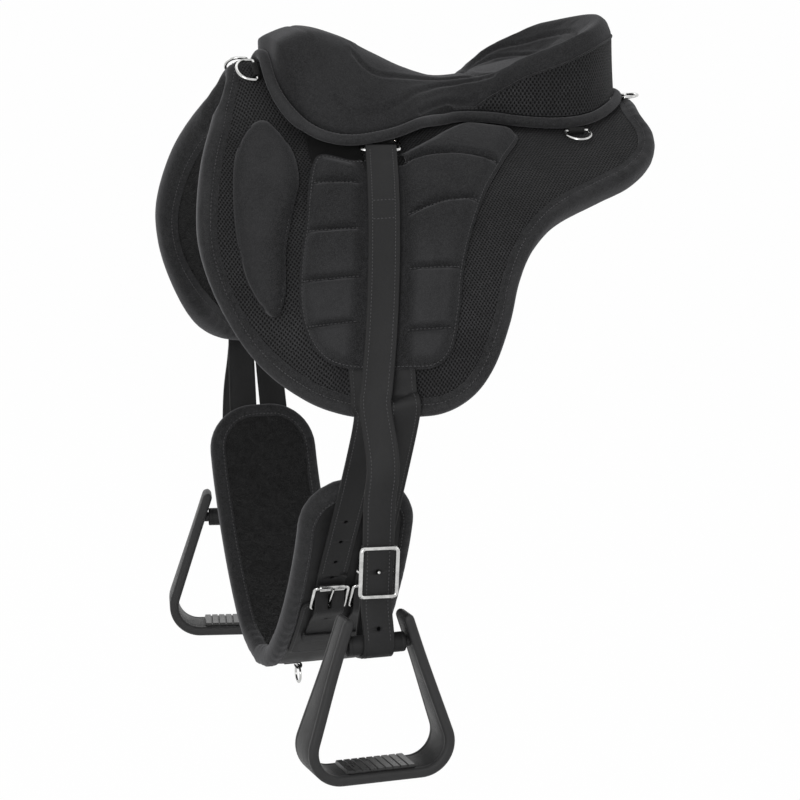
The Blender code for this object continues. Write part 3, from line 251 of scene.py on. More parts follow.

# %% [markdown]
# ## Airy mesh fabric
# The pad is covered in a knitted spacer fabric: thick threads round small openings, in
# staggered rows a few millimetres apart, with fine ribs along the horse. Real holes would
# need millions of faces, and an image of the weave isn't needed either: two crossed
# waves, laid in the pad's own pattern of millimetres, give the openings, painted nearly
# black as the shade inside them, and the same waves push the surface in. The pattern's
# place is kept with the piece as its UV map.

# %% Mesh fabric finish
def mesh_fabric(name, pitch, dark, thread):
    made = Finish(name, thread, 0.72, Specular_IOR_Level=0.12, Sheen_Weight=0.06, Sheen_Roughness=0.5,
                  Sheen_Tint=(0.6, 0.6, 0.62, 1))
    laid = made.add("UVMap", uv_map="pattern").outputs["UV"]
    wobble = made.add("VectorMath", {0: made.noise(90.0, where=laid), 1: (0.0016, 0.0016, 0)},
                      operation="MULTIPLY").outputs[0]
    laid = made.add("VectorMath", {0: laid, 1: wobble}, operation="ADD").outputs[0]
    part = made.add("SeparateXYZ", {0: laid})
    wave_x, wave_y = [made.maths("COSINE", made.times(part.outputs[k], 2 * math.pi / (pitch * wide)))
                      for k, wide in enumerate((1, 1.45))]
    both = made.times(wave_x, wave_y)
    hole = made.add("MapRange", {0: both, 1: -0.05, 2: 0.45, 3: 0.0, 4: 1.0},
                    interpolation_type="SMOOTHSTEP").outputs[0]
    threads = made.between(made.noise(700.0), 0.35, 0.65, scaled(thread, 0.7), scaled(thread, 1.5))
    patches = made.between(made.noise(14.0, 3.0, 0.5, 0.5), 0.3, 0.7, grey(0.72), grey(1.25))
    cloth = made.mixed(1.0, threads, patches, "MULTIPLY")
    # The openings get the dark colour: painted shade inside them.
    colour = made.mixed(hole, cloth, dark)
    ribs = made.times(wave_y, 0.25)
    height = made.maths("SUBTRACT", made.plus(ribs, made.noise(900.0, 1.0)), made.times(hole, 1.6))
    return made.dress(colour, height, 0.0009, 0.8)


# The first colour is the openings' painted shade, the second the threads.
PAD_MESH = mesh_fabric("black_mesh_fabric", 0.0036, grey(0.0012, 0.0013), grey(0.0250, 0.0258))
WALL_MESH = mesh_fabric("black_mesh_fabric_wall", 0.0042, grey(0.0010, 0.0011), grey(0.0220, 0.0228))
print("mesh fabrics:", PAD_MESH.name, WALL_MESH.name)

# %% [markdown]
# ## Plush, leather, web, thread, rubber and steel
# Plush is a deep pile that drinks the light, with clumps that lie different ways. Strap
# leather is nearly smooth: a grain of pores under a waxy surface that gives a satin
# shine, a little duller in places. The stirrups are wrapped in a finer leather. Web
# is woven in diagonal ridges. Steel is polished but handled, so its shine varies.

# %% Plush finish
made = Finish("black_plush", grey(0.008), 0.98, Specular_IOR_Level=0.05, Sheen_Weight=0.25,
              Sheen_Roughness=0.6,
              Sheen_Tint=(0.5, 0.5, 0.5, 1))
clumps = made.noise(95.0, 4.0, 0.65, 1.6)
pile = made.noise(1100.0, 2.0, 0.7)
broad = made.between(clumps, 0.38, 0.66, grey(0.0012), grey(0.0160, 0.0163))
tips = made.mixed(0.45, broad, made.between(pile, 0.4, 0.68, grey(0.002), grey(0.030, 0.031)))
PLUSH = made.dress(tips, made.plus(clumps, made.times(pile, 0.5)), 0.0040, 0.9)


# %% Leather finishes
def leather(name, dark, light, roughness, grain, shine):
    made = Finish(name, dark, roughness, Specular_IOR_Level=shine)
    where = made.add("TexCoord").outputs["Object"]
    cells = made.add("TexVoronoi", {"Vector": where, "Scale": grain, "Randomness": 0.95},
                     feature="DISTANCE_TO_EDGE").outputs["Distance"]
    pores = made.maths("MINIMUM", made.times(cells, 4.0), 1.0)
    stain = made.noise(45.0, 4.0, 0.6, 0.6)
    colour = made.between(stain, 0.3, 0.72, dark, light)
    colour = made.mixed(0.35, colour, made.mixed(pores, scaled(dark, 0.4), light))
    # Paler where a piece stores wear and painted highlight.
    colour = made.mixed(made.times(wear_and_painted_light_of(made), 0.8), colour, scaled(light, 1.8))
    spread = {0: stain, 1: 0.3, 2: 0.7, 3: roughness - 0.07, 4: roughness + 0.09}
    rough = made.add("MapRange", spread).outputs[0]
    height = made.plus(made.times(pores, 0.6), made.times(made.noise(2600.0), 0.5))
    return made.dress(colour, height, 0.00022, 0.6, rough)


STRAP_LEATHER = leather("black_leather", grey(0.0100, 0.0103), grey(0.0185, 0.0190), 0.56, 950.0, 0.20)
WRAP_LEATHER = leather("stirrup_leather_wrap", grey(0.0170, 0.0175), grey(0.0270, 0.0275), 0.46, 1500.0, 0.28)

# %% Web, thread and rubber finishes
made = Finish("black_nylon_web", grey(0.010), 0.6, Specular_IOR_Level=0.25)
weave = made.add("TexWave", {"Scale": 260.0, "Distortion": 0.6, "Detail": 1.0},
                 bands_direction="DIAGONAL").outputs["Fac"]
WEB = made.dress(made.between(weave, 0.2, 0.8, grey(0.004), grey(0.020)), weave, 0.0006, 0.8)

made = Finish("waxed_thread", grey(0.045, 0.047), 0.55, Specular_IOR_Level=0.3)
twist = made.noise(2600.0, 1.0)
twisted = made.between(twist, 0.35, 0.65, grey(0.028, 0.029), grey(0.085, 0.088))
THREAD = made.dress(twisted, twist, 0.0002, 0.6)

made = Finish("tread_rubber", grey(0.016), 0.3, Specular_IOR_Level=0.5)
dust = made.noise(120.0, 4.0, 0.6)
colour = made.between(dust, 0.35, 0.75, grey(0.009), grey(0.027))
rough = made.plus(made.times(dust, 0.25), 0.18)
RUBBER = made.dress(colour, made.noise(1800.0), 0.0002, 0.5, rough)

# %% Steel finish
made = Finish("polished_steel", grey(0.58, 0.57), 0.14, Metallic=1.0)
handled = made.noise(130.0, 4.0, 0.65, 0.4)
rough = made.add("MapRange", {0: handled, 1: 0.3, 2: 0.75, 3: 0.10, 4: 0.26}).outputs[0]
colour = made.between(handled, 0.3, 0.75, grey(0.68, 0.67), grey(0.36, 0.355))
STEEL = made.dress(colour, made.noise(1700.0), 0.00006, 0.4, rough)
print("finishes:", [m.name for m in (PLUSH, STRAP_LEATHER, WRAP_LEATHER, WEB, THREAD, RUBBER, STEEL)])

# %% [markdown]
# ## The back under the saddle
# Every soft piece of the saddle lies on one curved surface: a horse's back with a rounded
# spine, which rises in an arch over the withers and falls away to the ribs. A saddler
# cuts flat patterns and lays them on the back, and the same is done here. A pattern point
# is (distance along the horse, distance down from the spine), and drape() lays it on the
# back at a height. Patterns could be drawn straight in space, but then every outline
# would have to be fitted to the curve by hand.

# %% Smooth functions
def unit(vectors):
    return vectors / np.linalg.norm(vectors, axis=-1, keepdims=True)


def square_to(vectors, way):
    """Unit vectors with the share along way taken out."""
    return unit(vectors - way * np.sum(vectors * way, axis=-1, keepdims=True))


def smooth_table(table):
    """A smooth function through (x, y) rows that never overshoots them."""
    xs, ys = np.array(table, float).T
    slope = np.diff(ys) / np.diff(xs)
    inner = np.where(slope[1:] * slope[:-1] > 0,
                     2 * slope[1:] * slope[:-1] / (slope[1:] + slope[:-1] + 1e-12), 0.0)
    tangent = np.concatenate([[slope[0]], inner, [slope[-1]]])

    def value(x):
        x = np.clip(np.asarray(x, float), xs[0], xs[-1])
        i = np.clip(np.searchsorted(xs, x, side="right") - 1, 0, len(xs) - 2)
        step = xs[i + 1] - xs[i]
        u = (x - xs[i]) / step
        return (ys[i] * (1 + 2 * u) * (1 - u) ** 2 + tangent[i] * step * u * (1 - u) ** 2
                + ys[i + 1] * u * u * (3 - 2 * u) + tangent[i + 1] * step * u * u * (u - 1))

    return value


def ease(x, low, high):
    """0 below low, 1 above high, smooth between."""
    u = np.clip((np.asarray(x, float) - low) / (high - low), 0.0, 1.0)
    return u * u * (3 - 2 * u)


# %% Shape of the back
half_width = smooth_table([(-0.27, 0.120), (-0.22, 0.137), (-0.20, 0.150), (-0.16, 0.208), (-0.13, 0.242),
                           (-0.10, 0.260), (-0.05, 0.276), (0.0, 0.282), (0.10, 0.278), (0.20, 0.258),
                           (0.32, 0.220)])
ridge_slope = smooth_table([(-0.27, 47), (-0.22, 44), (-0.16, 34), (-0.10, 22), (-0.05, 14), (0.0, 9),
                            (0.10, 5), (0.32, 8)])
RIDGE_DIP, RIDGE_DIP_X, RIDGE_ROUND = 0.009, 0.08, 0.0195
POMMEL_LIFT, POMMEL_WIDTH = 0.034, 0.055
PAD_THICK, LINING_THICK, BINDING_WIDTH = 0.012, 0.010, 0.013


def back(x, s):
    """Point on the pad's outer face, s down from the spine and minus on the near side."""
    x = np.asarray(x, float)
    t = np.abs(np.asarray(s, float))
    slope = np.radians(ridge_slope(x))
    bend = (1 - np.sin(slope)) / half_width(x)
    straight = (math.pi / 2 - slope) / bend
    bent = np.minimum(t, straight)
    y = (np.sin(slope + bend * bent) - np.sin(slope)) / bend
    soft = np.sqrt(bent ** 2 + RIDGE_ROUND ** 2) - RIDGE_ROUND
    fall = (np.cos(slope) - np.cos(slope + bend * soft)) / bend + np.maximum(t - straight, 0.0)
    arch = POMMEL_LIFT * ease(x, -0.207, -0.168) * (1 - ease(x, -0.155, 0.010))
    beyond = x - RIDGE_DIP_X
    dip = np.where(beyond < 0, 0.036 * (-beyond / 0.28) ** 2, 0.012 * (beyond / 0.21) ** 2)
    z = RIDGE_DIP + dip - fall + arch * np.exp(-(y / POMMEL_WIDTH) ** 2)
    return np.stack(np.broadcast_arrays(x, np.sign(s) * y, z), -1)


def on_back_ways(pattern, d=0.0005):
    """Steps lengthwise and down the back at pattern points."""
    x, s = pattern[..., 0], pattern[..., 1]
    return back(x + d, s) - back(x - d, s), back(x, s + d) - back(x, s - d)


def outward(pattern):
    return unit(np.cross(*on_back_ways(pattern)))


def lengthwise(pattern):
    return unit(on_back_ways(pattern)[0])


def drape(pattern, height):
    """Lay pattern points (x, s) on the back, at a height above the pad's outer face."""
    pattern = np.asarray(pattern, float)
    height = np.broadcast_to(np.asarray(height, float), pattern.shape[:-1])
    return back(pattern[..., 0], pattern[..., 1]) + outward(pattern) * height[..., None]


print("spine over the withers:", back(-0.15, 0.0).round(4), "flap edge:", back(-0.05, -0.42).round(4))

# %% [markdown]
# ## Curves and patterns
# A pattern's edge is a smooth curve through a few measured points. The curve is walked
# at equal steps, so that faces come out even, and a patch between four of its corners
# fills it with rows and columns, as the threads of a cloth would.

# %% Curves
def walked(line):
    """Distance walked along a line up to each of its points."""
    return np.concatenate([[0], np.cumsum(np.linalg.norm(np.diff(line, axis=0), axis=1))])


def along(at, distance, values):
    """Read values off a line at some distances along it."""
    return np.stack([np.interp(at, distance, column) for column in values.T], -1)


def ringed(line):
    """Repeat a closed line's first point at its end."""
    return np.concatenate([line, line[:1]])


def heading(line, closed=False):
    return unit(np.roll(line, -1, 0) - np.roll(line, 1, 0)) if closed else unit(np.gradient(line, axis=0))


def even(points, count, closed=False):
    """Walk a line of points at equal steps."""
    points = np.asarray(points, float)
    if closed:
        points = ringed(points)
    length = walked(points)
    at = np.linspace(0, length[-1], count + 1)
    return along(at[:-1] if closed else at, length, points)


def denser(points, step, closed=False):
    points = np.asarray(points, float)
    whole = ringed(points) if closed else points
    return even(points, max(int(walked(whole)[-1] / step), 6), closed)


def spline(points, count, closed=False):
    """A smooth curve through control points, walked at equal steps."""
    p = np.asarray(points, float)
    p = np.vstack([p[-1], p, p[:2]] if closed else [2 * p[0] - p[1], p, 2 * p[-1] - p[-2]])
    pieces = []
    for a, b, c, d in zip(p[:-3], p[1:-2], p[2:-1], p[3:]):
        u = np.linspace(0, 1, 24, endpoint=False)[:, None]
        pieces.append(b + 0.5 * u * (c - a) + u ** 2 * (a - 2.5 * b + 2 * c - 0.5 * d)
                      + u ** 3 * 0.5 * (3 * b - a - 3 * c + d))
    return even(np.vstack(pieces if closed else pieces + [p[-2]]), count, closed)


def mirrored(half):
    """Close a near-half outline with its far half."""
    near = np.array(half, float) * (1, -1)
    return np.vstack([near, (near * (1, -1))[::-1][1:-1]])


def inset(curve, distance):
    """Move a closed pattern curve inwards."""
    tangent = heading(curve, True)
    area = np.sum(curve[:, 0] * np.roll(curve[:, 1], -1) - np.roll(curve[:, 0], -1) * curve[:, 1])
    inward = np.stack([-tangent[:, 1], tangent[:, 0]], -1) * np.sign(area)
    return curve + inward * distance


# %% Patches
def nearest(points, line):
    """Distance from each point to a line's nearest point, and that point's number."""
    flat, far, which = points.reshape(-1, points.shape[-1]), [], []
    for part in np.array_split(flat, 1 + len(flat) // 1500):
        gap = np.linalg.norm(part[:, None] - line[None], axis=-1)
        far.append(gap.min(1))
        which.append(gap.argmin(1))
    return [np.concatenate(found).reshape(points.shape[:-1]) for found in (far, which)]


def edge_distance(pattern, curve):
    return nearest(pattern, curve)[0]


def patch(low, right, high, left):
    """Fill a four-sided pattern: low and high run one way, left and right the other."""
    u = np.linspace(0, 1, len(low))[:, None, None]
    v = np.linspace(0, 1, len(left))[None, :, None]
    return ((1 - v) * low[:, None] + v * high[:, None] + (1 - u) * left[None] + u * right[None]
            - (1 - u) * (1 - v) * low[0] - u * (1 - v) * low[-1]
            - (1 - u) * v * high[0] - u * v * high[-1])


def patch_by_corner(curve, corners, nu, nv):
    """Fill a closed curve between the points nearest four corners, in nu by nv cells."""
    a, b, c, d = [int(np.argmin(np.linalg.norm(curve - np.array(p), axis=1))) for p in corners]
    count = len(curve)
    if (b - a) % count > (c - a) % count:
        curve = curve[::-1]
        a, b, c, d = [count - 1 - k for k in (a, b, c, d)]

    def run(i, j, cells):
        return even(curve[np.arange(i, i + (j - i) % count + 1) % count], cells)

    return patch(run(a, b, nu), run(b, c, nv), run(c, d, nu)[::-1], run(d, a, nv)[::-1])


# %% [markdown]
# ## From points to pieces
# Four tools make nearly every mesh: a closed sheet from two grids of points, a skin over
# a row of rings, a strap, which is a skin with a flat section, and a bent wire. Each
# turns its faces outwards by measuring its own volume. Blender's curve objects could
# make wires and straps too, but a skin keeps full control of the section and of twist.

# %% Tools for meshes
def piece(name, points, faces, finish, sharp=40.0):
    """A mesh object from points and faces, its faces turned outwards."""
    points = np.asarray(points, float).reshape(-1, 3)
    faces = [list(f) for f in faces]
    corner = points[[f[0] for f in faces]]
    volume = 0.0
    for k in range(1, max(len(f) for f in faces) - 1):
        have = [i for i, f in enumerate(faces) if len(f) > k + 1]
        b, c = points[[faces[i][k] for i in have]], points[[faces[i][k + 1] for i in have]]
        volume += np.einsum("ij,ij->i", corner[have], np.cross(b, c)).sum()
    if volume < 0:
        faces = [f[::-1] for f in faces]
    mesh = bpy.data.meshes.new(name)
    mesh.from_pydata(points.tolist(), [], faces)
    mesh.validate()
    mesh.shade_smooth()
    mesh.set_sharp_from_angle(angle=math.radians(sharp))
    mesh.materials.append(finish)
    made = bpy.data.objects.new(name, mesh)
    bpy.context.scene.collection.objects.link(made)
    return made


def fit(made, body, slot, *stands_for, fill=None):
    """Let a piece ride on a body, and hide the solids that it stands for; the name of its finish is not used.
    """
    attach(made, body)
    if stands_for:
        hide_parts(*stands_for)
    return made


def cells_of(index):
    return np.stack([index[:-1, :-1], index[1:, :-1], index[1:, 1:], index[:-1, 1:]], -1).reshape(-1, 4)


def closed_sheet(name, under, over, finish, pattern=None, wear_and_painted_light=None, sharp=60.0):
    """A soft sheet: a grid of points below, one above, and the rim that joins them."""
    rows, columns = under.shape[:2]
    index = np.arange(rows * columns).reshape(rows, columns)
    rim = np.concatenate([index[:-1, 0], index[-1, :-1], index[:0:-1, -1], index[0, :0:-1]])
    after = np.roll(rim, -1)
    sides = np.stack([rim, after, after + index.size, rim + index.size], -1)
    faces = np.vstack([cells_of(index)[:, ::-1], cells_of(index + index.size), sides])
    made = piece(name, np.concatenate([under.reshape(-1, 3), over.reshape(-1, 3)]), faces, finish, sharp)
    if pattern is not None:
        keep_pattern(made, np.concatenate([pattern.reshape(-1, 2)] * 2))
    if wear_and_painted_light is not None:
        keep_wear_and_painted_light(made, np.concatenate([np.zeros(index.size), wear_and_painted_light.ravel()]))
    return made


def keep_pattern(made, flat):
    """Store each point's place in the flat pattern, in metres, as the UV map."""
    layer = made.data.uv_layers.new(name="pattern")
    corner = np.zeros(len(made.data.loops), int)
    made.data.loops.foreach_get("vertex_index", corner)
    layer.data.foreach_set("uv", np.asarray(flat, np.float32)[corner].ravel())


# Store per point how much paler a piece is made: wear, and a painted highlight.
def keep_wear_and_painted_light(made, amount):
    wear_and_painted_light = made.data.attributes.new("wear_and_painted_light", "FLOAT", "POINT")
    wear_and_painted_light.data.foreach_set("value", np.asarray(amount, np.float32).ravel())


def skin(name, rings, finish, closed=False, sharp=50.0):
    """Skin a row of rings; an open one gets its ends closed."""
    rings = np.asarray(rings, float)
    rows, around = rings.shape[:2]
    index = np.arange(rows * around).reshape(rows, around)
    index = np.hstack([index, index[:, :1]])
    if closed:
        index = ringed(index)
    faces = cells_of(index).tolist()
    if not closed:
        faces += [index[0, :-1].tolist(), index[-1, :-1][::-1].tolist()]
    return piece(name, rings.reshape(-1, 3), faces, finish, sharp)


# %% Straps and wires
def strap(name, centre, across, section, finish, wide=None, closed=False, sharp=50.0):
    """A strap along a line: section is (across, out) points, wide scales it point by point."""
    centre = np.asarray(centre, float)
    run = heading(centre, closed)
    across = square_to(np.broadcast_to(np.asarray(across, float), centre.shape), run)
    out = np.cross(run, across)
    wide = np.ones(len(centre)) if wide is None else wide
    section = np.asarray(section, float)
    rings = (centre[:, None] + across[:, None] * section[None, :, :1] * wide[:, None, None]
             + out[:, None] * section[None, :, 1:])
    return skin(name, rings, finish, closed, sharp)


def strap_section(width, thick, crease=0.0):
    """A strap's section: rounded edges and a pressed line beside each edge."""
    w, h, r = width / 2, thick / 2, thick * 0.36
    corner = [(w - r + r * math.sin(a), h - r + r * math.cos(a)) for a in np.radians([0, 30, 60, 90])]
    top = [(0.0, h), (w - 0.0034, h)]
    if crease:
        top += [(w - 0.0026, h - crease), (w - 0.0018, h)]
    quarter = top + corner
    right = quarter + [(a, -b) for a, b in quarter[::-1]][:-1]
    return right + [(-a, -b) for a, b in right]


def round_rings(line, side, rise, radius, around):
    """Circles round each point of a line."""
    turn = np.linspace(0, 2 * math.pi, around, endpoint=False)[:, None]
    return line[:, None] + radius * (side[:, None] * np.cos(turn) + rise[:, None] * np.sin(turn))


def wire(name, points, radius, plane, finish, closed=False, around=14):
    """A round wire bent in a plane; plane is the direction that it's flat to."""
    points = np.asarray(points, float)
    run = heading(points, closed)
    side = unit(np.cross(np.asarray(plane, float), run))
    return skin(name, round_rings(points, side, np.cross(run, side), radius, around), finish, closed, 60.0)


# %% [markdown]
# ## Stitches
# The seams are sewn with a thick waxed thread, and each stitch shows as a small paler
# bead that dips into the surface at both ends. A dotted line in a texture would do from
# far off, but up close a stitch is a thing that catches light, so each is a small mesh.
# One tool walks along a seam and lays a bead at every step, and all the beads of a piece
# are one object that moves with it.

# %% Tool for stitches
def sew(name, rows, body, step=0.0040, long=0.0029, radius=0.00052, sink=0.00005):
    """Lay stitches along rows of (points, directions out) and let them ride on a body."""
    reach = np.array([-0.5, -0.32, 0.0, 0.32, 0.5]) * long
    fat = np.array([0.25, 0.85, 1.0, 0.85, 0.25]) * radius
    lift = np.array([-0.9, 0.15, 0.4, 0.15, -0.9]) * radius - sink
    around = [(0, 1), (1, 0), (0, -1), (-1, 0)]
    quads = [(4 * k + j, 4 * k + (j + 1) % 4, 4 * k + 4 + (j + 1) % 4, 4 * k + 4 + j)
             for k in range(4) for j in range(4)] + [(3, 2, 1, 0), (16, 17, 18, 19)]
    points, faces, base = [], [], 0
    for line, out in rows:
        length = walked(line)
        at = np.arange(step * 0.5, length[-1] - step * 0.3, step)
        middle, ahead, behind = [along(at + step * k, length, line) for k in (0, 0.2, -0.2)]
        run = unit(ahead - behind)
        up = square_to(along(at, length, out), run)
        side = np.cross(run, up)
        rings = [middle + run * r + up * (h + f * b) + side * (f * a)
                 for r, f, h in zip(reach, fat, lift) for a, b in around]
        points.append(np.stack(rings, 1).reshape(-1, 3))
        first = base + np.arange(len(at))[:, None, None] * 20
        faces.append((first + np.array(quads)[None]).reshape(-1, 4))
        base += len(points[-1])
    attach(piece(name, np.vstack(points), np.vstack(faces), THREAD, 80.0), body)


def seam_on_back(pattern, height, closed=False):
    """A seam line laid on the back, for sew()."""
    height = np.broadcast_to(np.asarray(height, float), (len(pattern),))
    if closed:
        pattern, height = ringed(pattern), ringed(height)
    return drape(pattern, height), outward(pattern)


# %% [markdown]
# ## Swelling a padded piece
# Foam under suede doesn't make a smooth dome. It pushes up between the seams and pulls
# small folds towards them. Cloth simulation gives this: the sewn lines are held still,
# the inside gets pressure, and the cover moves until it is tight. A cap on the movement
# keeps the piece in its place, and the result is written into the mesh.

# %% Tool for cloth simulation
FRAMES, STIFF = 20, 8.0


def points_of(mesh):
    found = np.zeros(len(mesh.vertices) * 3)
    mesh.vertices.foreach_get("co", found)
    return found.reshape(-1, 3)


def swell(made, held_above, pressure, cap):
    """Swell a closed sheet by cloth simulation; its lower grid and the held points stay."""
    held = np.round(np.concatenate([np.ones(held_above.size), held_above.ravel()]), 2)
    rest = points_of(made.data)
    sewn = made.vertex_groups.new(name="sewn")
    for level in np.unique(held):
        if level > 0:
            sewn.add(np.where(held == level)[0].tolist(), float(level), "REPLACE")
    cloth = made.modifiers.new("swell", "CLOTH")
    settings = cloth.settings
    settings.quality, settings.mass, settings.air_damping = 6, 0.2, 2.0
    settings.tension_stiffness = settings.compression_stiffness = STIFF
    settings.shear_stiffness, settings.bending_stiffness = STIFF * 0.6, 0.3
    settings.use_pressure, settings.uniform_pressure_force = True, pressure
    settings.shrink_min = 0.0
    settings.effector_weights.gravity = 0.0
    settings.vertex_group_mass = "sewn"
    cloth.collision_settings.use_collision = False
    cloth.point_cache.frame_start, cloth.point_cache.frame_end = 1, FRAMES
    for number in range(1, FRAMES + 1):
        bpy.context.scene.frame_set(number)
    swollen = points_of(made.evaluated_get(bpy.context.evaluated_depsgraph_get()).data)
    made.modifiers.remove(cloth)
    made.vertex_groups.clear()
    bpy.context.scene.frame_set(1)
    move = swollen - rest
    far = np.linalg.norm(move, axis=1, keepdims=True)
    move *= cap * np.tanh(far / cap) / np.maximum(far, 1e-9)
    made.data.vertices.foreach_set("co", (rest + move).ravel())
    made.data.update()
    print(made.name, "swelled by up to", round(float(np.linalg.norm(move, axis=1).max()) * 1000, 1), "mm")


print("mesh tools ready")

# %% [markdown]
# ## The foam pad
# The pad is the whole underside of the saddle: both flaps and the middle, 12 mm of foam
# between two layers of mesh fabric. It could be one thick plane, but foam that has been
# sat on is never flat, so the top gets long, very shallow waves. The pattern coordinates
# go along as a UV map for the weave.

# %% Foam pad
PAD_OUTLINE = [(-0.191, 0.0), (-0.209, 0.050), (-0.231, 0.118), (-0.243, 0.186), (-0.240, 0.232),
               (-0.226, 0.276), (-0.200, 0.325), (-0.165, 0.371), (-0.125, 0.402), (-0.080, 0.417),
               (-0.040, 0.424), (-0.008, 0.413), (0.016, 0.386), (0.037, 0.342), (0.053, 0.298),
               (0.076, 0.259), (0.112, 0.224), (0.165, 0.194), (0.206, 0.171), (0.236, 0.140),
               (0.248, 0.106), (0.250, 0.060), (0.259, 0.0)]
pad_dense = spline(mirrored(PAD_OUTLINE), 672, closed=True)
pad_edge = inset(pad_dense, BINDING_WIDTH + 0.0035)
FLAP_FRONT, FLAP_REAR = (-0.220, 0.262), (0.022, 0.352)


def on_side(side, places):
    """Pattern places of the far side, or mirrored to the near side."""
    return np.array(places, float) * (1, side)


def waves(pattern, size, depth, seed=0.0):
    """Long shallow waves, the same on every run."""
    x, s = pattern[..., 0] / size, pattern[..., 1] / size
    return depth * (np.sin(2.1 * x + 1.3 * s + seed) * np.cos(1.7 * s - 0.8 * x + 2 * seed)
                    + 0.5 * np.sin(4.3 * x - 3.1 * s + 3 * seed))


flap_corners = [FLAP_FRONT, FLAP_REAR, *on_side(-1, [FLAP_REAR, FLAP_FRONT])]
pad_grid = patch_by_corner(pad_edge, flap_corners, 64, 130)
pad_face = drape(pad_grid, waves(pad_grid, 0.030, 0.00035))
foam_pad = closed_sheet("foam_pad", drape(pad_grid, -PAD_THICK), pad_face,
                        PAD_MESH, pad_grid)
fit(foam_pad, "saddle", "black_mesh_fabric", "base_pad", fill=0.6)
print("foam pad:", len(foam_pad.data.polygons), "faces")

# %% [markdown]
# ## Plush linings
# Against the horse lies a thick pile, one piece on each side, with an air channel between
# them over the spine. Its surface is lumpy, and single tufts stand up from it. Hair
# particles would draw them, but they don't leave Blender with the model, so the pile is
# a dense sheet with a rough underside and some thousands of little tapered tufts.

# %% Plush tools
CHANNEL_FRONT, CHANNEL_REAR = 0.034, 0.017
LINING_TUFTS, TUFT_TALL, TUFT_FAT = 9000, 0.0030, 0.00042
dice = np.random.default_rng(7)


def lumps(points, size, depth):
    """A lumpy pile: crossed waves of different sizes, in space."""
    x, y, z = np.moveaxis(points / size, -1, 0)
    return depth * (np.sin(x * 1.9 + np.sin(z * 1.1)) * np.sin(y * 2.3 + z)
                    + 0.6 * np.sin(x * 5.1 - z * 4.3) * np.cos(y * 4.7 + z * 2.9))


def tufts(name, grid, out, count):
    """Little tapered tufts on a grid of points, leaning different ways."""
    rows, columns = grid.shape[:2]
    u, v = dice.uniform(1, rows - 2, count), dice.uniform(1, columns - 2, count)
    i, j = u.astype(int), v.astype(int)
    a, b = (u - i)[:, None], (v - j)[:, None]
    foot = (grid[i, j] * (1 - a) * (1 - b) + grid[i + 1, j] * a * (1 - b)
            + grid[i, j + 1] * (1 - a) * b + grid[i + 1, j + 1] * a * b)
    up = unit(out[i, j] + dice.normal(0, 0.45, (count, 3)))
    side = unit(np.cross(up, dice.normal(0, 1, (count, 3))))
    other = np.cross(up, side)
    ring = [foot - up * 0.0004 + (side * math.cos(t) + other * math.sin(t)) * TUFT_FAT
            for t in np.radians([0, 120, 240])]
    tip = foot + up * (TUFT_TALL * dice.uniform(0.45, 1.0, (count, 1)))
    first = np.arange(count)[:, None, None] * 4
    faces = (first + np.array([(0, 1, 3), (1, 2, 3), (2, 0, 3), (2, 1, 0)])[None]).reshape(-1, 3)
    fit(piece(name, np.stack([*ring, tip], 1), faces, PLUSH, 180.0), "saddle", "black_plush")


# %% Plush linings
for side, word in SIDES:
    channel = np.where(pad_edge[:, 0] > 0, CHANNEL_REAR, CHANNEL_FRONT)
    half_edge = pad_edge[pad_edge[:, 1] * side > channel]
    corners = on_side(side, [FLAP_FRONT, FLAP_REAR, (0.240, CHANNEL_REAR), (-0.175, CHANNEL_FRONT)])
    grid = patch_by_corner(half_edge, corners, 76, 76)
    rim_fade = ease(edge_distance(grid, half_edge), 0.0, 0.010)
    lumpy = lumps(drape(grid, 0.0), 0.0075, 0.0007) * rim_fade
    pile_face = drape(grid, -PAD_THICK - LINING_THICK + 0.0012 + lumpy)
    lining = closed_sheet("plush_lining_" + word, pile_face, drape(grid, -PAD_THICK - 0.0018), PLUSH, grid)
    fit(lining, "saddle", "black_plush", "fleece_" + word, fill=0.5)
    tufts("plush_tufts_" + word, pile_face, -outward(grid), LINING_TUFTS)
print("linings: 2, tufts on each:", LINING_TUFTS)

# %% [markdown]
# ## The bound edge
# A strip of suede is folded round the edge of pad and lining and sewn through, all the
# way round. The fold is round outside and pulled flat at the seam. A flat ribbon round
# the edge would leave the corners sharp, so the strip is a skin over one section that is
# carried along the edge, with small puckers where the thread pulls.

# %% Bound edge
STRIP_SECTION = [(0.0190, -0.0020), (0.0186, 0.0007), (0.0150, 0.0011), (0.0118, 0.0014), (0.0094, 0.0025),
                 (0.0066, 0.0027), (0.0040, 0.0018), (0.0018, -0.0006), (0.0004, -0.0050), (0.0000, -0.0108),
                 (0.0004, -0.0172), (0.0018, -0.0222), (0.0040, -0.0246), (0.0066, -0.0254),
                 (0.0094, -0.0250), (0.0118, -0.0240), (0.0150, -0.0236), (0.0186, -0.0232), (0.0190, -0.0205)]
around = np.arange(len(pad_dense))
pucker = 0.00028 * np.sin(around * 2 * math.pi / 5.6) + 0.0003 * np.sin(around * 2 * math.pi / 21 + 1.0)
loops = []
for depth, height in STRIP_SECTION:
    pull = pucker * (1.0 if 0.003 < depth < 0.0125 else 0.2) * (1 if height > -0.011 else -1)
    loops.append(drape(inset(pad_dense, depth), height + pull))
rings = np.stack(loops, 1)
bound_edge = skin("bound_edge", rings, EDGE_SUEDE, closed=True, sharp=70.0)
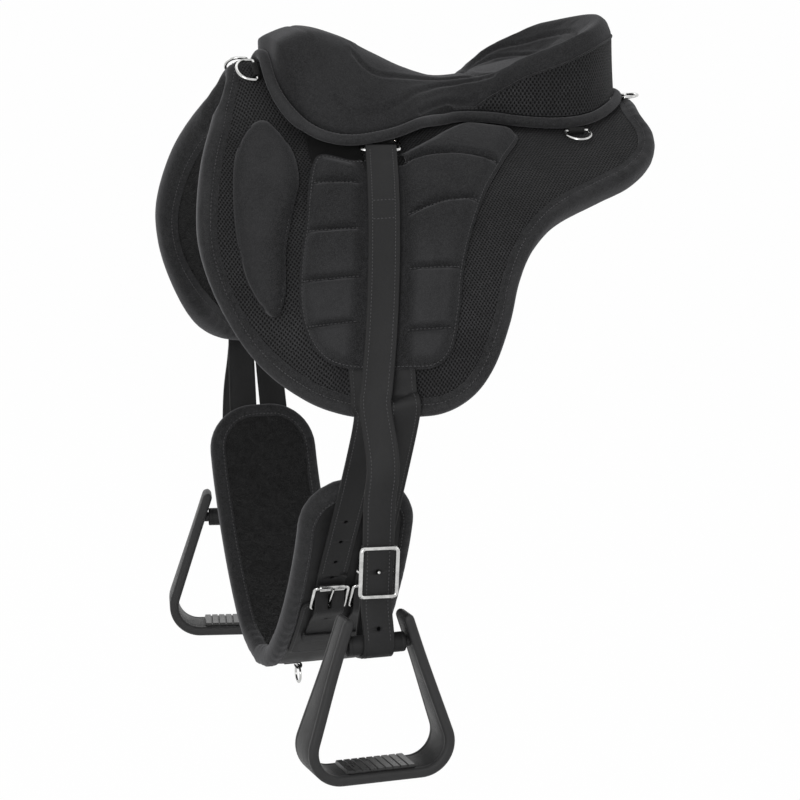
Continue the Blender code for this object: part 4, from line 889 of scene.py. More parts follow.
# The top of the fold is paler: partly wear, partly a painted highlight along it.
edge_wear_and_highlight = np.zeros(rings.shape[:2])
edge_wear_and_highlight[:, 4:8] = (0.35 + 0.25 * np.sin(around * 0.11) * np.sin(around * 0.047 + 1))[:, None]
keep_wear_and_painted_light(bound_edge, edge_wear_and_highlight)
fit(bound_edge, "saddle", "black_suede_binding", "edge_binding")
seam = inset(pad_dense, 0.0120)
under_line, under_out = seam_on_back(seam, -0.0242, closed=True)
sew("edge_stitches", [seam_on_back(seam, 0.0014, closed=True), (under_line, -under_out)], "saddle", 0.0042)
print("bound edge:", len(bound_edge.data.polygons), "faces")

# %% [markdown]
# ## The seat
# The seat is a foam cushion in one piece of suede, high at the pommel, narrow at the
# waist, and rising again to the cantle, with a skirt that lies out over the pad. It
# starts as two grids, one under and one over, with the same rules as the solid. Then the
# cushion is swelled by simulation with its sewn lines held, and the finer channels are
# pressed in after that.

# %% Seat outline and heights
SEAT_OUTLINE = [(-0.158, 0.0), (-0.157, 0.034), (-0.149, 0.060), (-0.133, 0.087), (-0.110, 0.106),
                (-0.085, 0.115), (-0.058, 0.115), (-0.028, 0.107), (0.0, 0.091), (0.026, 0.071),
                (0.048, 0.061), (0.075, 0.066), (0.100, 0.079), (0.130, 0.089), (0.160, 0.091),
                (0.190, 0.082), (0.217, 0.060), (0.238, 0.030), (0.245, 0.0)]
seat_crest = smooth_table([(-0.158, 0.082), (-0.140, 0.097), (-0.114, 0.105), (-0.080, 0.096),
                           (-0.040, 0.077), (0.0, 0.060), (0.045, 0.049), (0.080, 0.052), (0.120, 0.058),
                           (0.160, 0.067), (0.200, 0.086), (0.222, 0.099), (0.245, 0.103)])
seat_wall = smooth_table([(-0.158, 0.020), (0.045, 0.020), (0.080, 0.052), (0.118, 0.076), (0.157, 0.090),
                          (0.200, 0.101), (0.245, 0.094)])
seat_roll = smooth_table([(0.035, 0.0), (0.080, 0.022), (0.118, 0.019), (0.157, 0.019), (0.200, 0.022),
                          (0.245, 0.021)])
BEAD, ROLL_WIDE, FOAM_HEIGHT = 0.0054, 0.020, 0.019
seat_dense = spline(mirrored(SEAT_OUTLINE), 480, closed=True)
seat_rim = inset(seat_dense, 2 * BEAD + 0.0014)[::2]


def bead_height(x):
    """The corded edge lies on the pad, and lifts over the stirrup rings and the billets."""
    return 0.0094 + 0.0094 * ease(x, -0.152, -0.125) * (1 - ease(x, -0.012, 0.034))


def seat_underside(grid):
    x = grid[..., 0]
    middle = 0.0016 + 0.0056 * ease(x, -0.152, -0.128) * (1 - ease(x, -0.016, 0.010))
    far_in = ease(edge_distance(grid, seat_dense), 0.022, 0.046)
    return middle * far_in + (bead_height(x) - 0.0048) * (1 - far_in)


def seat_top(grid):
    """The crest runs down the middle, the wall's height goes all round, and the edge rolls over."""
    x, rim = grid[..., 0], even(seat_rim, 1920, closed=True)
    from_rim, beside = nearest(grid, rim)
    lip = (drape(rim, 0.0)[:, 2] + seat_wall(rim[:, 0]))[beside]
    across = np.abs(np.linspace(-1, 1, grid.shape[1]))[None]
    along_it = np.linspace(0, 1, len(grid))[:, None]
    side = np.clip(across / (1 - 0.2 * ease(x, 0.035, 0.095)), 0, 1) ** (1.75 + 0.9 * ease(x, 0.0, 0.12))
    end = np.clip((along_it - 0.80) / 0.16, 0, 1) ** 2
    share = 1 - (1 - side) * (1 - end)
    turned = np.clip(1 - from_rim / ROLL_WIDE, 0, 1)
    height = seat_crest(x) * (1 - share) + lip * share - seat_roll(x) * (1 - np.sqrt(1 - turned ** 2))
    return np.concatenate([drape(grid, FOAM_HEIGHT)[..., :2], height[..., None]], -1)


def rim_run(i, j):
    return seat_rim[np.arange(i, j + 1) % len(seat_rim)]


seat_grid = patch(rim_run(20, 100), rim_run(100, 140), rim_run(140, 220)[::-1], rim_run(220, 260)[::-1])
seat_low, seat_high = drape(seat_grid, seat_underside(seat_grid)), seat_top(seat_grid)
print("seat grid:", seat_grid.shape[:2], "highest point", seat_high[..., 2].max().round(4))

# %% [markdown]
# The sewn lines were found by looking along the camera's ray through each line of the
# photograph onto the cushion: two long ones flow from the pommel's sides to the waist,
# a third joins the mesh wall, and two ovals mark where the rider sits. The far side has
# the same ones.

# %% Sewn lines of the seat
SEAT_LINES = [
    [(-0.0640, -0.0420), (-0.0580, -0.0530), (-0.0469, -0.0583), (-0.0322, -0.0558), (-0.0143, -0.0469),
     (0.0121, -0.0318), (0.0348, -0.0200), (0.0560, -0.0160), (0.0800, -0.0240)],
    [(-0.0950, -0.0860), (-0.0865, -0.0916), (-0.0788, -0.0943), (-0.0576, -0.0942), (-0.0285, -0.0826),
     (0.0047, -0.0555), (0.0336, -0.0345), (0.0550, -0.0290), (0.0698, -0.0340), (0.0857, -0.0500)],
    [(-0.0028, -0.0796), (0.0216, -0.0605), (0.0476, -0.0480), (0.0662, -0.0512)]]
POMMEL_SEAM = [(-0.1115, -0.0640), (-0.1110, -0.0399), (-0.1130, -0.0179), (-0.1140, 0.0), (-0.1130, 0.0179),
               (-0.1110, 0.0399), (-0.1115, 0.0640)]
OVALS = ((0.117, 0.045, 0.043), (0.134, 0.059, 0.057))
turn = np.linspace(0, 2 * math.pi, 120)


def onto_seat(flat):
    """Drop a flat line onto the cushion's top."""
    top = seat_high.reshape(-1, 3)
    far = np.linalg.norm(flat[:, None] - top[None, :, :2], axis=-1)
    near = np.argsort(far, 1)[:, :4]
    share = 1 / (np.take_along_axis(far, near, 1) + 1e-5)
    return np.column_stack([flat, (top[near, 2] * share).sum(1) / share.sum(1)])


seat_lines = [onto_seat(spline(line, 90)) for line in SEAT_LINES]
seat_lines += [line * (1, -1, 1) for line in seat_lines]
seat_lines += [onto_seat(np.stack([x + long * np.cos(turn), wide * np.sin(turn)], -1))
               for x, long, wide in OVALS]
line_points = np.vstack(seat_lines)
print("sewn lines on the seat:", len(seat_lines))

# %% Swell the seat, then press the channels in
def finer(grid):
    """Double a grid's rows and columns on a smooth curve through its points."""
    for axis in (0, 1):
        g = np.moveaxis(grid, axis, 0)
        p = np.concatenate([2 * g[:1] - g[1:2], g, 2 * g[-1:] - g[-2:-1]])
        out = np.empty((2 * len(g) - 1, *g.shape[1:]))
        out[::2], out[1::2] = g, (9 * (p[1:-2] + p[2:-1]) - p[:-3] - p[3:]) / 16
        grid = np.moveaxis(out, 0, axis)
    return grid


def surface_normals(grid, upwards):
    normal = unit(np.cross(np.gradient(grid, axis=0), np.gradient(grid, axis=1)))
    return normal * np.sign(np.sum(normal * upwards, axis=-1, keepdims=True))


def swelled_top(made, grid):
    """Take the upper grid out of a swelled sheet, and the sheet away."""
    points = points_of(made.data)
    bpy.data.objects.remove(made)
    return points[grid.shape[0] * grid.shape[1]:].reshape(*grid.shape[:2], 3)


def groove(distance, width):
    return np.exp(-(distance / width) ** 2)


rough_seat = closed_sheet("rough_seat", seat_low, seat_high, SEAT_SUEDE)
on_rim = np.zeros(seat_grid.shape[:2])
on_rim[:2], on_rim[-2:], on_rim[:, :2], on_rim[:, -2:] = 1, 1, 1, 1
on_line = 1 - ease(edge_distance(seat_high, line_points), 0.0020, 0.0100)
swell(rough_seat, np.maximum(on_rim, on_line), 2.4, 0.0034)
top, low, seat_pattern = finer(swelled_top(rough_seat, seat_high)), finer(seat_low), finer(seat_grid)
channel = edge_distance(top, line_points)
dent = -0.0021 * groove(channel, 0.0024) + 0.0006 * groove(channel - 0.0060, 0.0028)
pommel = onto_seat(spline(POMMEL_SEAM, 120))
dent = dent - 0.0009 * groove(edge_distance(top[..., :2], pommel[:, :2]), 0.0022)
top = top + surface_normals(top, (0, 0, 1.0)) * dent[..., None]
# Paler in bands beside the sewn lines and towards the pommel: partly wear, partly a painted highlight on the
# swells.
crown = np.clip(0.5 - 18 * np.abs(channel - 0.020), 0, 0.3) + 0.25 * ease(seat_pattern[..., 0], -0.06, -0.12)
seat = closed_sheet("seat", low, top, SEAT_SUEDE, seat_pattern, crown)
fit(seat, "saddle", "black_suede", "seat_cushion", fill=0.7)
print("seat:", len(seat.data.polygons), "faces, top", top[..., 2].max().round(4))

# %% [markdown]
# ## Cantle wall, welt and corded edge
# Round the cantle the cushion's side is a wall of mesh fabric, set between the suede top
# and the corded edge. A narrow welt finishes its upper seam. The corded edge itself is
# suede rolled over a cord, a little uneven as such rolls are. A bevelled curve would give
# a perfectly round tube, and a skin lets the roll vary.

# %% Cantle wall and welt
WALL_START, WELT_RADIUS = 0.044, 0.0011
first = int(np.argmin(np.abs(seat_dense[:len(seat_dense) // 2, 0] - WALL_START)))
run = np.arange(first, len(seat_dense) - first + 1)
v = np.linspace(0, 1, 12)


def wall_rows(sink, push):
    line = inset(seat_dense, sink)[run]
    foot, head = drape(line, FOAM_HEIGHT), drape(inset(seat_dense, sink + 0.0026)[run], FOAM_HEIGHT)
    foot[:, 2] += bead_height(line[:, 0]) + BEAD - 0.018
    top_edge = drape(line, 0.0)[:, 2] + seat_wall(line[:, 0]) - seat_roll(line[:, 0])
    head[:, 2] = np.maximum(top_edge - 0.0008, foot[:, 2] + 0.0015)
    rows = foot[:, None] * (1 - v[:, None]) + head[:, None] * v[:, None]
    flat_out = unit(outward(line) * (1, 1, 0) + 1e-9)
    return rows + flat_out[:, None] * (push * np.sin(math.pi * v))[:, None]


wall_out, wall_in = wall_rows(2 * BEAD - 0.0020, 0.0018), wall_rows(2 * BEAD, 0.0)
wall_long = walked(wall_out[:, 0])
wall_pattern = np.stack(np.broadcast_arrays(wall_long[:, None], wall_out[..., 2]), -1)
cantle_wall = closed_sheet("cantle_wall", wall_in, wall_out, WALL_MESH, wall_pattern)
fit(cantle_wall, "saddle", "black_mesh_fabric", "cantle_gusset")

welt_line = wall_out[:, -1] + (0, 0, 0.0002)
welt_side = unit(np.cross(heading(welt_line), (0, 0, 1.0)))
k = np.arange(len(welt_line))
fat = WELT_RADIUS * (1 + 0.03 * np.sin(k * 0.37) * np.sin(k * 0.071 + 1) + 0.015 * np.sin(k * 1.3))
welt_rise = np.cross(welt_side, heading(welt_line))
welt_rings = round_rings(welt_line, welt_side, welt_rise, fat[:, None, None], 12)
fit(skin("cantle_welt", welt_rings, EDGE_SUEDE, sharp=80.0), "saddle", "black_suede_binding")
print("cantle wall:", len(cantle_wall.data.polygons), "faces, length", wall_long[-1].round(3))

# %% Corded edge
turn = np.linspace(0, 2 * math.pi, 18, endpoint=False)
k = np.arange(len(seat_dense))
swollen = 1 + 0.025 * np.sin(k * 0.31) * np.sin(k * 0.083 + 2) + 0.012 * np.sin(k * 0.9)
loops = []
for a in turn:
    rim = inset(seat_dense, BEAD * (1 - math.cos(a)))
    loops.append(drape(rim, bead_height(rim[:, 0]) + BEAD * 1.04 * swollen * math.sin(a)))
corded_edge = skin("corded_edge", np.stack(loops, 1), EDGE_SUEDE, closed=True, sharp=80.0)
# The upper side of the roll is paler: partly wear, partly a painted highlight along it.
keep_wear_and_painted_light(corded_edge, np.clip(np.sin(turn + 0.4), 0, 1)[None]
          * (0.45 + 0.4 * np.sin(k * 0.05) * np.sin(k * 0.021 + 1))[:, None])
fit(corded_edge, "saddle", "black_suede_binding", "seat_binding")
inner_line = inset(seat_dense, BEAD * 1.62)
sew("cord_stitches", [seam_on_back(inner_line, bead_height(inner_line[:, 0]) + BEAD * 0.80, closed=True)],
    "saddle", 0.0040, 0.0027, 0.00045)
print("corded edge:", len(corded_edge.data.polygons), "faces")

# %% [markdown]
# ## Quilted panels
# On each flap lies a suede panel, quilted into tufts: four rows in front of the stirrup
# leather and four behind, with a flat lane between them where the leather hangs. The
# panel bulges between its sewn lines. It starts nearly at its full height, the seams, the
# rim and the lane are held, and the simulation swells the rest.

# %% Panel heights
QUILT_OUTLINE = [(-0.119, 0.118), (-0.141, 0.190), (-0.154, 0.247), (-0.156, 0.295), (-0.144, 0.334),
                 (-0.118, 0.357), (-0.070, 0.372), (-0.044, 0.376), (-0.026, 0.362), (-0.014, 0.325),
                 (-0.004, 0.282), (0.012, 0.240), (0.038, 0.190), (0.070, 0.143), (0.098, 0.098),
                 (0.070, 0.077), (0.045, 0.071), (0.022, 0.082), (-0.008, 0.105), (-0.040, 0.123),
                 (-0.080, 0.128)]
QUILT_CORNERS = [(-0.119, 0.121), (-0.140, 0.340), (-0.032, 0.369), (0.097, 0.099)]
FRONT_SEAMS, REAR_SEAMS = (0.146, 0.203, 0.257, 0.304), (0.146, 0.212, 0.270, 0.334)


def strap_x(t):
    """The stirrup leather lies a little forward as it goes down the flap."""
    return -0.036 - 0.157 * t


def front_seam(k, x):
    return k + 0.005 + 0.22 * (x + 0.12)


def rear_seam(k, x):
    """The two upper seams behind the leather are cut on a curve, the lower ones are straight."""
    curve = 0.022 * ease(x, 0.010, 0.080) - 0.012 * ease(x, -0.060, 0.000)
    return k + (curve if k < 0.25 else 0.17 * (x + 0.065))


def panel_under(x, t, inside):
    lap = 0.0008 * (1 - ease(t, 0.175, 0.200))
    over_billets = ease(x, -0.144, -0.132) * (1 - ease(x, -0.046, -0.034))
    return 0.0014 + (0.0040 + lap) * np.maximum(ease(inside, 0.0, 0.008), over_billets)


def panel_seams(x, t, width=0.0038):
    """How near each point is to a sewn line, 1 on it."""
    front = sum(groove(t - front_seam(k, x), width) for k in FRONT_SEAMS)
    rear = sum(groove(t - rear_seam(k, x), width) for k in REAR_SEAMS)
    return np.minimum(np.where(x < strap_x(t), front, rear), 1)


def panel_over(x, t, inside):
    valley = ease(np.abs(x - strap_x(t)), 0.0190, 0.0330)
    crown = ease(inside, 0.0012, 0.016) * valley * (1 - 0.95 * panel_seams(x, t))
    return panel_under(x, t, inside) + 0.0016 + 0.0074 * crown, crown


def measured(pattern, outline):
    """Distance along the horse, down from the spine and in from an outline."""
    return pattern[..., 0], np.abs(pattern[..., 1]), edge_distance(pattern, outline)


def within(flat, outline):
    """Which points lie inside a closed outline: a line to the tail crosses it an odd number of times."""
    (x, y), (ax, ay), (bx, by) = flat.T[..., None], outline.T[:, None], np.roll(outline, -1, 0).T[:, None]
    at = ax + (y - ay) / (by - ay + 1e-12) * (bx - ax)
    return (((ay > y) != (by > y)) & (x < at)).sum(1) % 2 == 1


print("seams in front of the leather:", FRONT_SEAMS, "behind it:", REAR_SEAMS)


# %% Quilted panels
def surface_frame(place):
    """Outward, downhill and lengthwise directions of the back at a pattern point."""
    here = drape(place, 0.0)
    out = Vector(drape(place, 0.001) - here).normalized()
    side = math.copysign(1.0, place[1]) if place[1] else -1.0
    down = Vector(back(place[0], place[1] + side * 0.001) - here).normalized()
    return out, down, down.cross(out) if side < 0 else out.cross(down)


def take_out(target, cutter):
    """Cut one piece out of another and leave nothing behind."""
    modifier = target.modifiers.new("cut", "BOOLEAN")
    modifier.operation, modifier.object = "DIFFERENCE", cutter
    bpy.context.view_layer.update()
    made = bpy.data.meshes.new_from_object(target.evaluated_get(bpy.context.evaluated_depsgraph_get()))
    target.modifiers.clear()
    target.data = made
    bpy.data.objects.remove(cutter)


def cut_away(target, centre, axes, size):
    corners = [[sum(s * k / 2 * a[i] for s, k, a in zip(signs, size, axes)) + centre[i] for i in range(3)]
               for signs in ((x, y, z) for x in (-1, 1) for y in (-1, 1) for z in (-1, 1))]
    sides = [(0, 1, 3, 2), (4, 6, 7, 5), (0, 4, 5, 1), (2, 3, 7, 6), (0, 2, 6, 4), (1, 5, 7, 3)]
    take_out(target, piece("cutter", corners, sides, SEAT_SUEDE))


for side, word in SIDES:
    outline = spline(on_side(side, QUILT_OUTLINE), 480, closed=True)
    grid = patch_by_corner(outline, on_side(side, QUILT_CORNERS), 84, 54)
    x, t, inside = measured(grid, outline)
    low = drape(grid, panel_under(x, t, inside))
    rough_panel = closed_sheet("rough_panel", low, drape(grid, panel_over(x, t, inside)[0]), SEAT_SUEDE)
    still = (panel_seams(x, t) > 0.55) | (inside < 0.0035) | (np.abs(x - strap_x(t)) < 0.0205)
    swell(rough_panel, still.astype(float), 2.5, 0.0030)
    high, low, grid = finer(swelled_top(rough_panel, grid)), finer(low), finer(grid)
    x, t, inside = measured(grid, outline)
    seams = panel_seams(x, t, 0.0017) * (np.abs(x - strap_x(t)) > 0.0215) * (inside > 0.003)
    high = high - outward(grid) * (0.0012 * seams)[..., None]
    # Crowns are paler, partly wear and partly a painted highlight; the upper rows under the seat get a quarter
    # of it, as painted shade.
    crown = panel_over(x, t, inside)[1] ** 2 * (0.25 + 0.75 * ease(t, 0.210, 0.290))
    panel = closed_sheet("quilted_suede_" + word, low, high, SEAT_SUEDE, grid, 0.95 * crown)
    middle = np.array([strap_x(0.119), side * 0.119])
    out, down, across = surface_frame(middle)
    cut_away(panel, drape(middle, 0.008), (across, down, out), (0.044, 0.052, 0.030))
    fit(panel, "saddle", "black_suede", "quilted_panel_" + word, fill=0.7)
    rows = []
    for cut, k in [(front_seam, k) for k in FRONT_SEAMS] + [(rear_seam, k) for k in REAR_SEAMS]:
        line_x = np.linspace(-0.170, 0.110, 400)
        flat = np.stack([line_x, side * cut(k, line_x)], -1)
        x, t, deep = measured(flat, outline)
        ahead = (x - strap_x(t)) * (-1 if cut is front_seam else 1) > 0.022
        flat = flat[ahead & within(flat, outline) & (deep > 0.004)]
        rows.append(seam_on_back(flat, panel_over(*measured(flat, outline))[0] + 0.0002))
    ring = inset(outline, 0.0030)
    ring_height = panel_over(ring[:, 0], np.abs(ring[:, 1]), np.full(len(ring), 0.0030))[0] + 0.0002
    rows.append(seam_on_back(ring, ring_height, closed=True))
    sew("quilt_stitches_" + word, rows, "saddle", 0.0040)
print("quilted panels: 2, faces each", len(panel.data.polygons))

# %% [markdown]
# ## Knee rolls
# In front of each panel a long roll holds the rider's knee. It is one crowned piece of
# suede over firm foam, full in the middle and sewn down all round. It is swelled in the
# same way.

# %% Knee rolls
KNEE_OUTLINE = [(-0.164, 0.074), (-0.184, 0.086), (-0.199, 0.115), (-0.206, 0.165), (-0.205, 0.215),
                (-0.198, 0.250), (-0.179, 0.284), (-0.168, 0.264), (-0.163, 0.218), (-0.151, 0.175),
                (-0.140, 0.141), (-0.140, 0.108), (-0.150, 0.085)]
KNEE_CORNERS = [(-0.186, 0.082), (-0.195, 0.255), (-0.170, 0.268), (-0.149, 0.078)]
for side, word in SIDES:
    outline = spline(on_side(side, KNEE_OUTLINE), 320, closed=True)
    grid = patch_by_corner(outline, on_side(side, KNEE_CORNERS), 56, 22)
    inside = edge_distance(grid, outline)
    full = np.clip((inside - 0.0016) / 0.019, 0, 1)
    crown = np.sqrt(1 - (1 - full) ** 2)
    over = 0.0044 + 0.0118 * crown + waves(grid, 0.012, 0.0003) * full
    # The full middle is paler: partly wear, partly a painted highlight on the crown.
    knee_roll = closed_sheet("knee_roll_suede_" + word, drape(grid, 0.0030), drape(grid, over),
                             SEAT_SUEDE, grid, 0.85 * crown ** 3)
    swell(knee_roll, (inside < 0.0030).astype(float), 2.5, 0.0025)
    fit(knee_roll, "saddle", "black_suede", "knee_roll_" + word, fill=0.8)
    seam = seam_on_back(inset(outline, 0.0018), 0.0050, closed=True)
    sew("knee_stitches_" + word, [seam], "saddle", 0.0040)
print("knee rolls: 2, faces each", len(knee_roll.data.polygons))

# %% [markdown]
# ## Webs and saddle rings
# Two webs cross the pad under the seat. One carries the billets, and the other ends in
# the steel loops from which the stirrup leathers hang. Five rings on folded tabs are for
# tying things on. Each ring is a wire bent to a D, and each tab a short web folded round
# the ring's straight side. The tab could be a block with a hole, but a folded strap shows
# its fold and its weave.

# %% Small shapes
def arc(radius, start, end, count, centre=(0.0, 0.0)):
    turn = np.radians(np.linspace(start, end, count))
    return np.array(centre) + radius * np.stack([np.cos(turn), np.sin(turn)], -1)


def rounded(x0, x1, y0, y1, radius, steps):
    """A closed flat rectangle with its corners rounded."""
    lefts, rights, lows, highs = x0 + radius, x1 - radius, y0 + radius, y1 - radius
    corners = (lefts, lows, 180), (rights, lows, 270), (rights, highs, 0), (lefts, highs, 90)
    return np.vstack([arc(radius, start, start + 90, steps + 1, (x, y)) for x, y, start in corners])


def placed(flat, origin, first, second):
    """Turn flat (a, b) points into space along two directions from an origin."""
    flat = np.asarray(flat, float)
    return np.array(origin) + flat[:, :1] * np.array(first) + flat[:, 1:] * np.array(second)


def steel_wire(name, flat, step, origin, first, second, radius, plane, closed=True, around=14):
    line = placed(denser(flat, step, closed), origin, first, second)
    return wire(name, line, radius, plane, STEEL, closed, around)


def folded(name, fold, origin, first, second, across, width, thick, finish, closed=False):
    """A short strap folded along flat (a, b) points."""
    line = placed(fold, origin, first, second)
    return strap(name, line, across, strap_section(width, thick), finish, closed=closed)


# %% Webs
STRAP_WIDTH, STRAP_THICK = 0.032, 0.0034
RING_TOP, RING_HEIGHT, STRAP_TOP = 0.100, 0.0069, 0.123
STIRRUP_BAR = {"left": (-0.113, -0.285, -0.482), "right": (-0.113, 0.285, -0.482)}
STIRRUP_TURN = {"left": 3.0, "right": -12.0}
WEB_EYE, SEWN_EDGE = 0.0035, 0.0003
web_x, web_s = np.linspace(-0.124, -0.072, 9), np.linspace(-0.146, 0.146, 70)
grid = np.stack(np.meshgrid(web_x, web_s, indexing="ij"), -1)
cross_web = closed_sheet("cross_web", drape(grid, 0.0012), drape(grid, 0.0022), WEB)
fit(cross_web, "saddle", "black_nylon_web", "girth_web")


def flat_ways(line, start, pattern, free_way, low, high):
    """How a strap lies: flat on the back at its top, and turned to its own way where it hangs free."""
    lay, height = lengthwise(pattern), -line[:, 2]
    lay = along(height, -start[:, 2], lay)
    free = ease(height, low, high)[:, None]
    across = square_to(lay * (1 - free) + np.array(free_way) * free, heading(line))
    out = np.cross(heading(line), across)
    return across, out


def leather_line(side, word):
    """Middle of the folded stirrup leather, from the hanger ring's lower bar to the stirrup bar."""
    t = np.linspace(STRAP_TOP, 0.40, 18)
    pattern = np.stack([strap_x(t), side * t], -1)
    flap = drape(pattern, 0.0124 + 0.0036 * ease(t, 0.34, 0.39))
    free = [(-0.1045, side * 0.2850, -0.300), (-0.1085, side * 0.2855, -0.340),
            (-0.1105, side * 0.2850, -0.400), (-0.1125, side * 0.2850, -0.450)]
    line = spline(np.vstack([flap, free, STIRRUP_BAR[word]]), 60)
    turn = math.radians(STIRRUP_TURN[word])
    across, out = flat_ways(line, flap, pattern, (math.cos(turn), math.sin(turn), 0.0), 0.20, 0.44)
    return line, heading(line), across, out * np.sign(out[:, 1:2]) * side


middle = np.linspace(-0.088, 0.088, 60)
pattern = np.stack([strap_x(np.abs(middle)), middle], -1)
path, lay = drape(pattern, 0.0040), lengthwise(pattern)
for side, word in SIDES:
    spot = np.array((strap_x(RING_TOP), side * RING_TOP))
    out, down = [np.array(v) for v in surface_frame(spot)[:2]]
    hub = drape(spot, RING_HEIGHT)
    under = [(0.0026, -0.004), (0.0004, -0.010), (-0.0004, -0.016)]
    loop = placed(np.vstack([arc(WEB_EYE, 10, 180, 14) * (-1, 1), under]), hub, out, down)
    flat = np.tile(leather_line(side, "left")[2][0], (len(loop), 1))
    path = np.vstack([path, loop] if side > 0 else [loop[::-1], path])
    lay = np.vstack([lay, flat] if side > 0 else [flat, lay])
hanger_strap = strap("hanger_strap", path, lay, strap_section(0.030, 0.0016), WEB)
fit(hanger_strap, "saddle", "black_nylon_web", "hanger_web")
print("webs: 2")

# %% Saddle rings and tabs
WIRE, RING_WIDTH = 0.0016, 0.030
ring_half = RING_WIDTH / 2 - WIRE
ring_arm = np.array([(0.0, 0.002), (0.0006, 0.0005), (0.002, 0.0), (0.0055, 0.0)]) - (0, ring_half)
ring_shape = np.vstack([ring_arm, arc(ring_half, -75, 75, 26, (0.0068, 0)), (ring_arm * (1, -1))[::-1]])
tab_fold = np.vstack([[(-0.022, -0.0026), (-0.014, -0.0026), (-0.007, -0.00265), (-0.003, -0.0027)],
                      arc(0.00275, -88, 205, 22)])
RING_SPOTS = {"front_left": (-0.163, -0.024, "forward"), "front_right": (-0.163, 0.024, "forward"),
              "rear_left": (0.163, -0.096, "down"), "rear_right": (0.163, 0.096, "down"),
              "rear_centre": (0.2465, 0.0, "rear")}
for word, (*spot, way) in RING_SPOTS.items():
    out, down, across = surface_frame(np.array(spot))
    tailwards = Vector((1, 0, 0)) - out * out.x
    reach = {"down": down, "rear": tailwards, "forward": -tailwards}[way].normalized()
    bar, origin = out.cross(reach), drape(spot, 0.0046)
    ring = steel_wire("tie_ring_" + word, ring_shape, 0.0014, origin, reach, bar, WIRE, out)
    fit(ring, "ring_" + word, "polished_steel", "saddle_ring_" + word)
    tab = folded("ring_tab_web_" + word, tab_fold, origin, reach, out, bar, 0.017, 0.0015, WEB)
    fit(tab, "saddle", "black_nylon_web", "ring_tab_" + word)
print("tie rings:", len(RING_SPOTS))

# %% [markdown]
# ## Stirrup leathers
# A stirrup leather is one long strap: it goes over a steel loop under the seat, down
# outside, round the stirrup's bar and up again behind itself, and a buckle of two loops
# and a pin holds both layers. It is modelled as that one folded strap. Each edge has a
# pressed line and a row of stitches, and the doubled part near the top is sewn in a box.

# %% Stirrup leathers
def punch(target, holes):
    """Punch round or slotted holes: (centre, axis, radius, depth, stretch, along)."""
    points, faces = [], []
    for centre, axis, radius, depth, stretch, way in holes:
        z = Vector(axis).normalized()
        y = (Vector(way) - Vector(way).dot(z) * z).normalized()
        x = y.cross(z)
        base = len(points)
        for end in (-0.5, 0.5):
            for a in np.linspace(0, 2 * math.pi, 16, endpoint=False) + 0.1:
                long = math.sin(a) + math.copysign(stretch - 1, math.sin(a))
                point = Vector(centre) + x * radius * math.cos(a) + y * radius * long + z * end * depth
                points.append(tuple(point))
        faces += [(base + k, base + (k + 1) % 16, base + 16 + (k + 1) % 16, base + 16 + k) for k in range(16)]
        faces += [list(range(base + 15, base - 1, -1)), list(range(base + 16, base + 32))]
    take_out(target, piece("punch", points, faces, STRAP_LEATHER))


def edge_rows(line, across, out, width, thick):
    """Two rows of stitches, half a width to each side of a strap's middle."""
    return [(line + across * width / 2 * k + out * thick / 2, out) for k in (-1, 1)]


SLEEVE_RADIUS, CONWAY_HEIGHT, APART = 0.0100, -0.408, 0.0019
RING_EYE, SLEEVE_EYE = 0.0023 + STRAP_THICK / 2, SLEEVE_RADIUS + 0.0003 + STRAP_THICK / 2
leathers = {}
for side, word in SIDES:
    line, run, across, out = ways = leather_line(side, word)
    length = walked(line)
    full = length[-1]

    def layer(a, sign):
        at_ring, at_bar = 1 - ease(a, 0.002, 0.020), ease(a, full - 0.045, full - 0.004)
        apart = APART + (RING_EYE - APART) * at_ring + (SLEEVE_EYE - APART) * at_bar
        return along(a, length, line) + unit(along(a, length, out)) * (sign * apart)[:, None]

    bend = np.radians(np.linspace(0, 180, 19))[1:-1, None]
    over = line[0] + RING_EYE * (-np.cos(bend) * out[0] - np.sin(bend) * run[0])
    round_bar = line[-1] + SLEEVE_EYE * (np.cos(bend) * out[-1] + np.sin(bend) * run[-1])
    tail, long = np.linspace(0.052, 0, 18), np.linspace(0, full, 150)
    back_up = np.linspace(full, full - 0.100, 36)
    path = np.vstack([layer(tail, -1), over, layer(long, 1), round_bar, layer(back_up, -1)])
    wide = along(np.concatenate([tail, np.zeros(17), long, np.full(17, full), back_up]), length, across)
    section = strap_section(STRAP_WIDTH, STRAP_THICK, SEWN_EDGE)
    leather_strap = strap("leather_strap_" + word, path, wide, section, STRAP_LEATHER)
    a = float(np.interp(-CONWAY_HEIGHT, -line[:, 2], length))
    hub, down, sideways, straight_out = [along(a, length, v) for v in ways]
    hole = layer(np.array([a + 0.056]), 1)[0]
    punch(leather_strap, [(hub, straight_out, 0.0026, 0.030, 1, down),
                          (hole, straight_out, 0.0023, 0.008, 1, down)])
    fit(leather_strap, "leather_" + word, "black_leather", "stirrup_leather_" + word)
    sewn = np.linspace(0.004, full - 0.006, 140)
    rows = edge_rows(layer(sewn, 1), along(sewn, length, across), along(sewn, length, out),
                     STRAP_WIDTH - 0.0092, STRAP_THICK)
    for stop in np.array([[0.072], [0.094]]):
        box_line = layer(stop, 1) + along(stop, length, across) * np.linspace(-0.0114, 0.0114, 12)[:, None]
        up = np.tile(along(stop, length, out), (12, 1))
        rows.append((box_line + up * STRAP_THICK / 2, up))
    sew("leather_stitches_" + word, rows, "leather_" + word, 0.0038, 0.0027, 0.00045)
    leathers[word] = (line[0], line[-1], hub, down, sideways, straight_out, across[0], across[-1])
print("stirrup leathers: length from ring to bar", round(full, 3))

# %% [markdown]
# ## Steel of the leathers
# The loop under the seat is a bent rod. The buckle has an outer frame over the leather,
# a bar that dips behind it and a pin through both layers. They are round wires, with the
# corners bent and not cut.

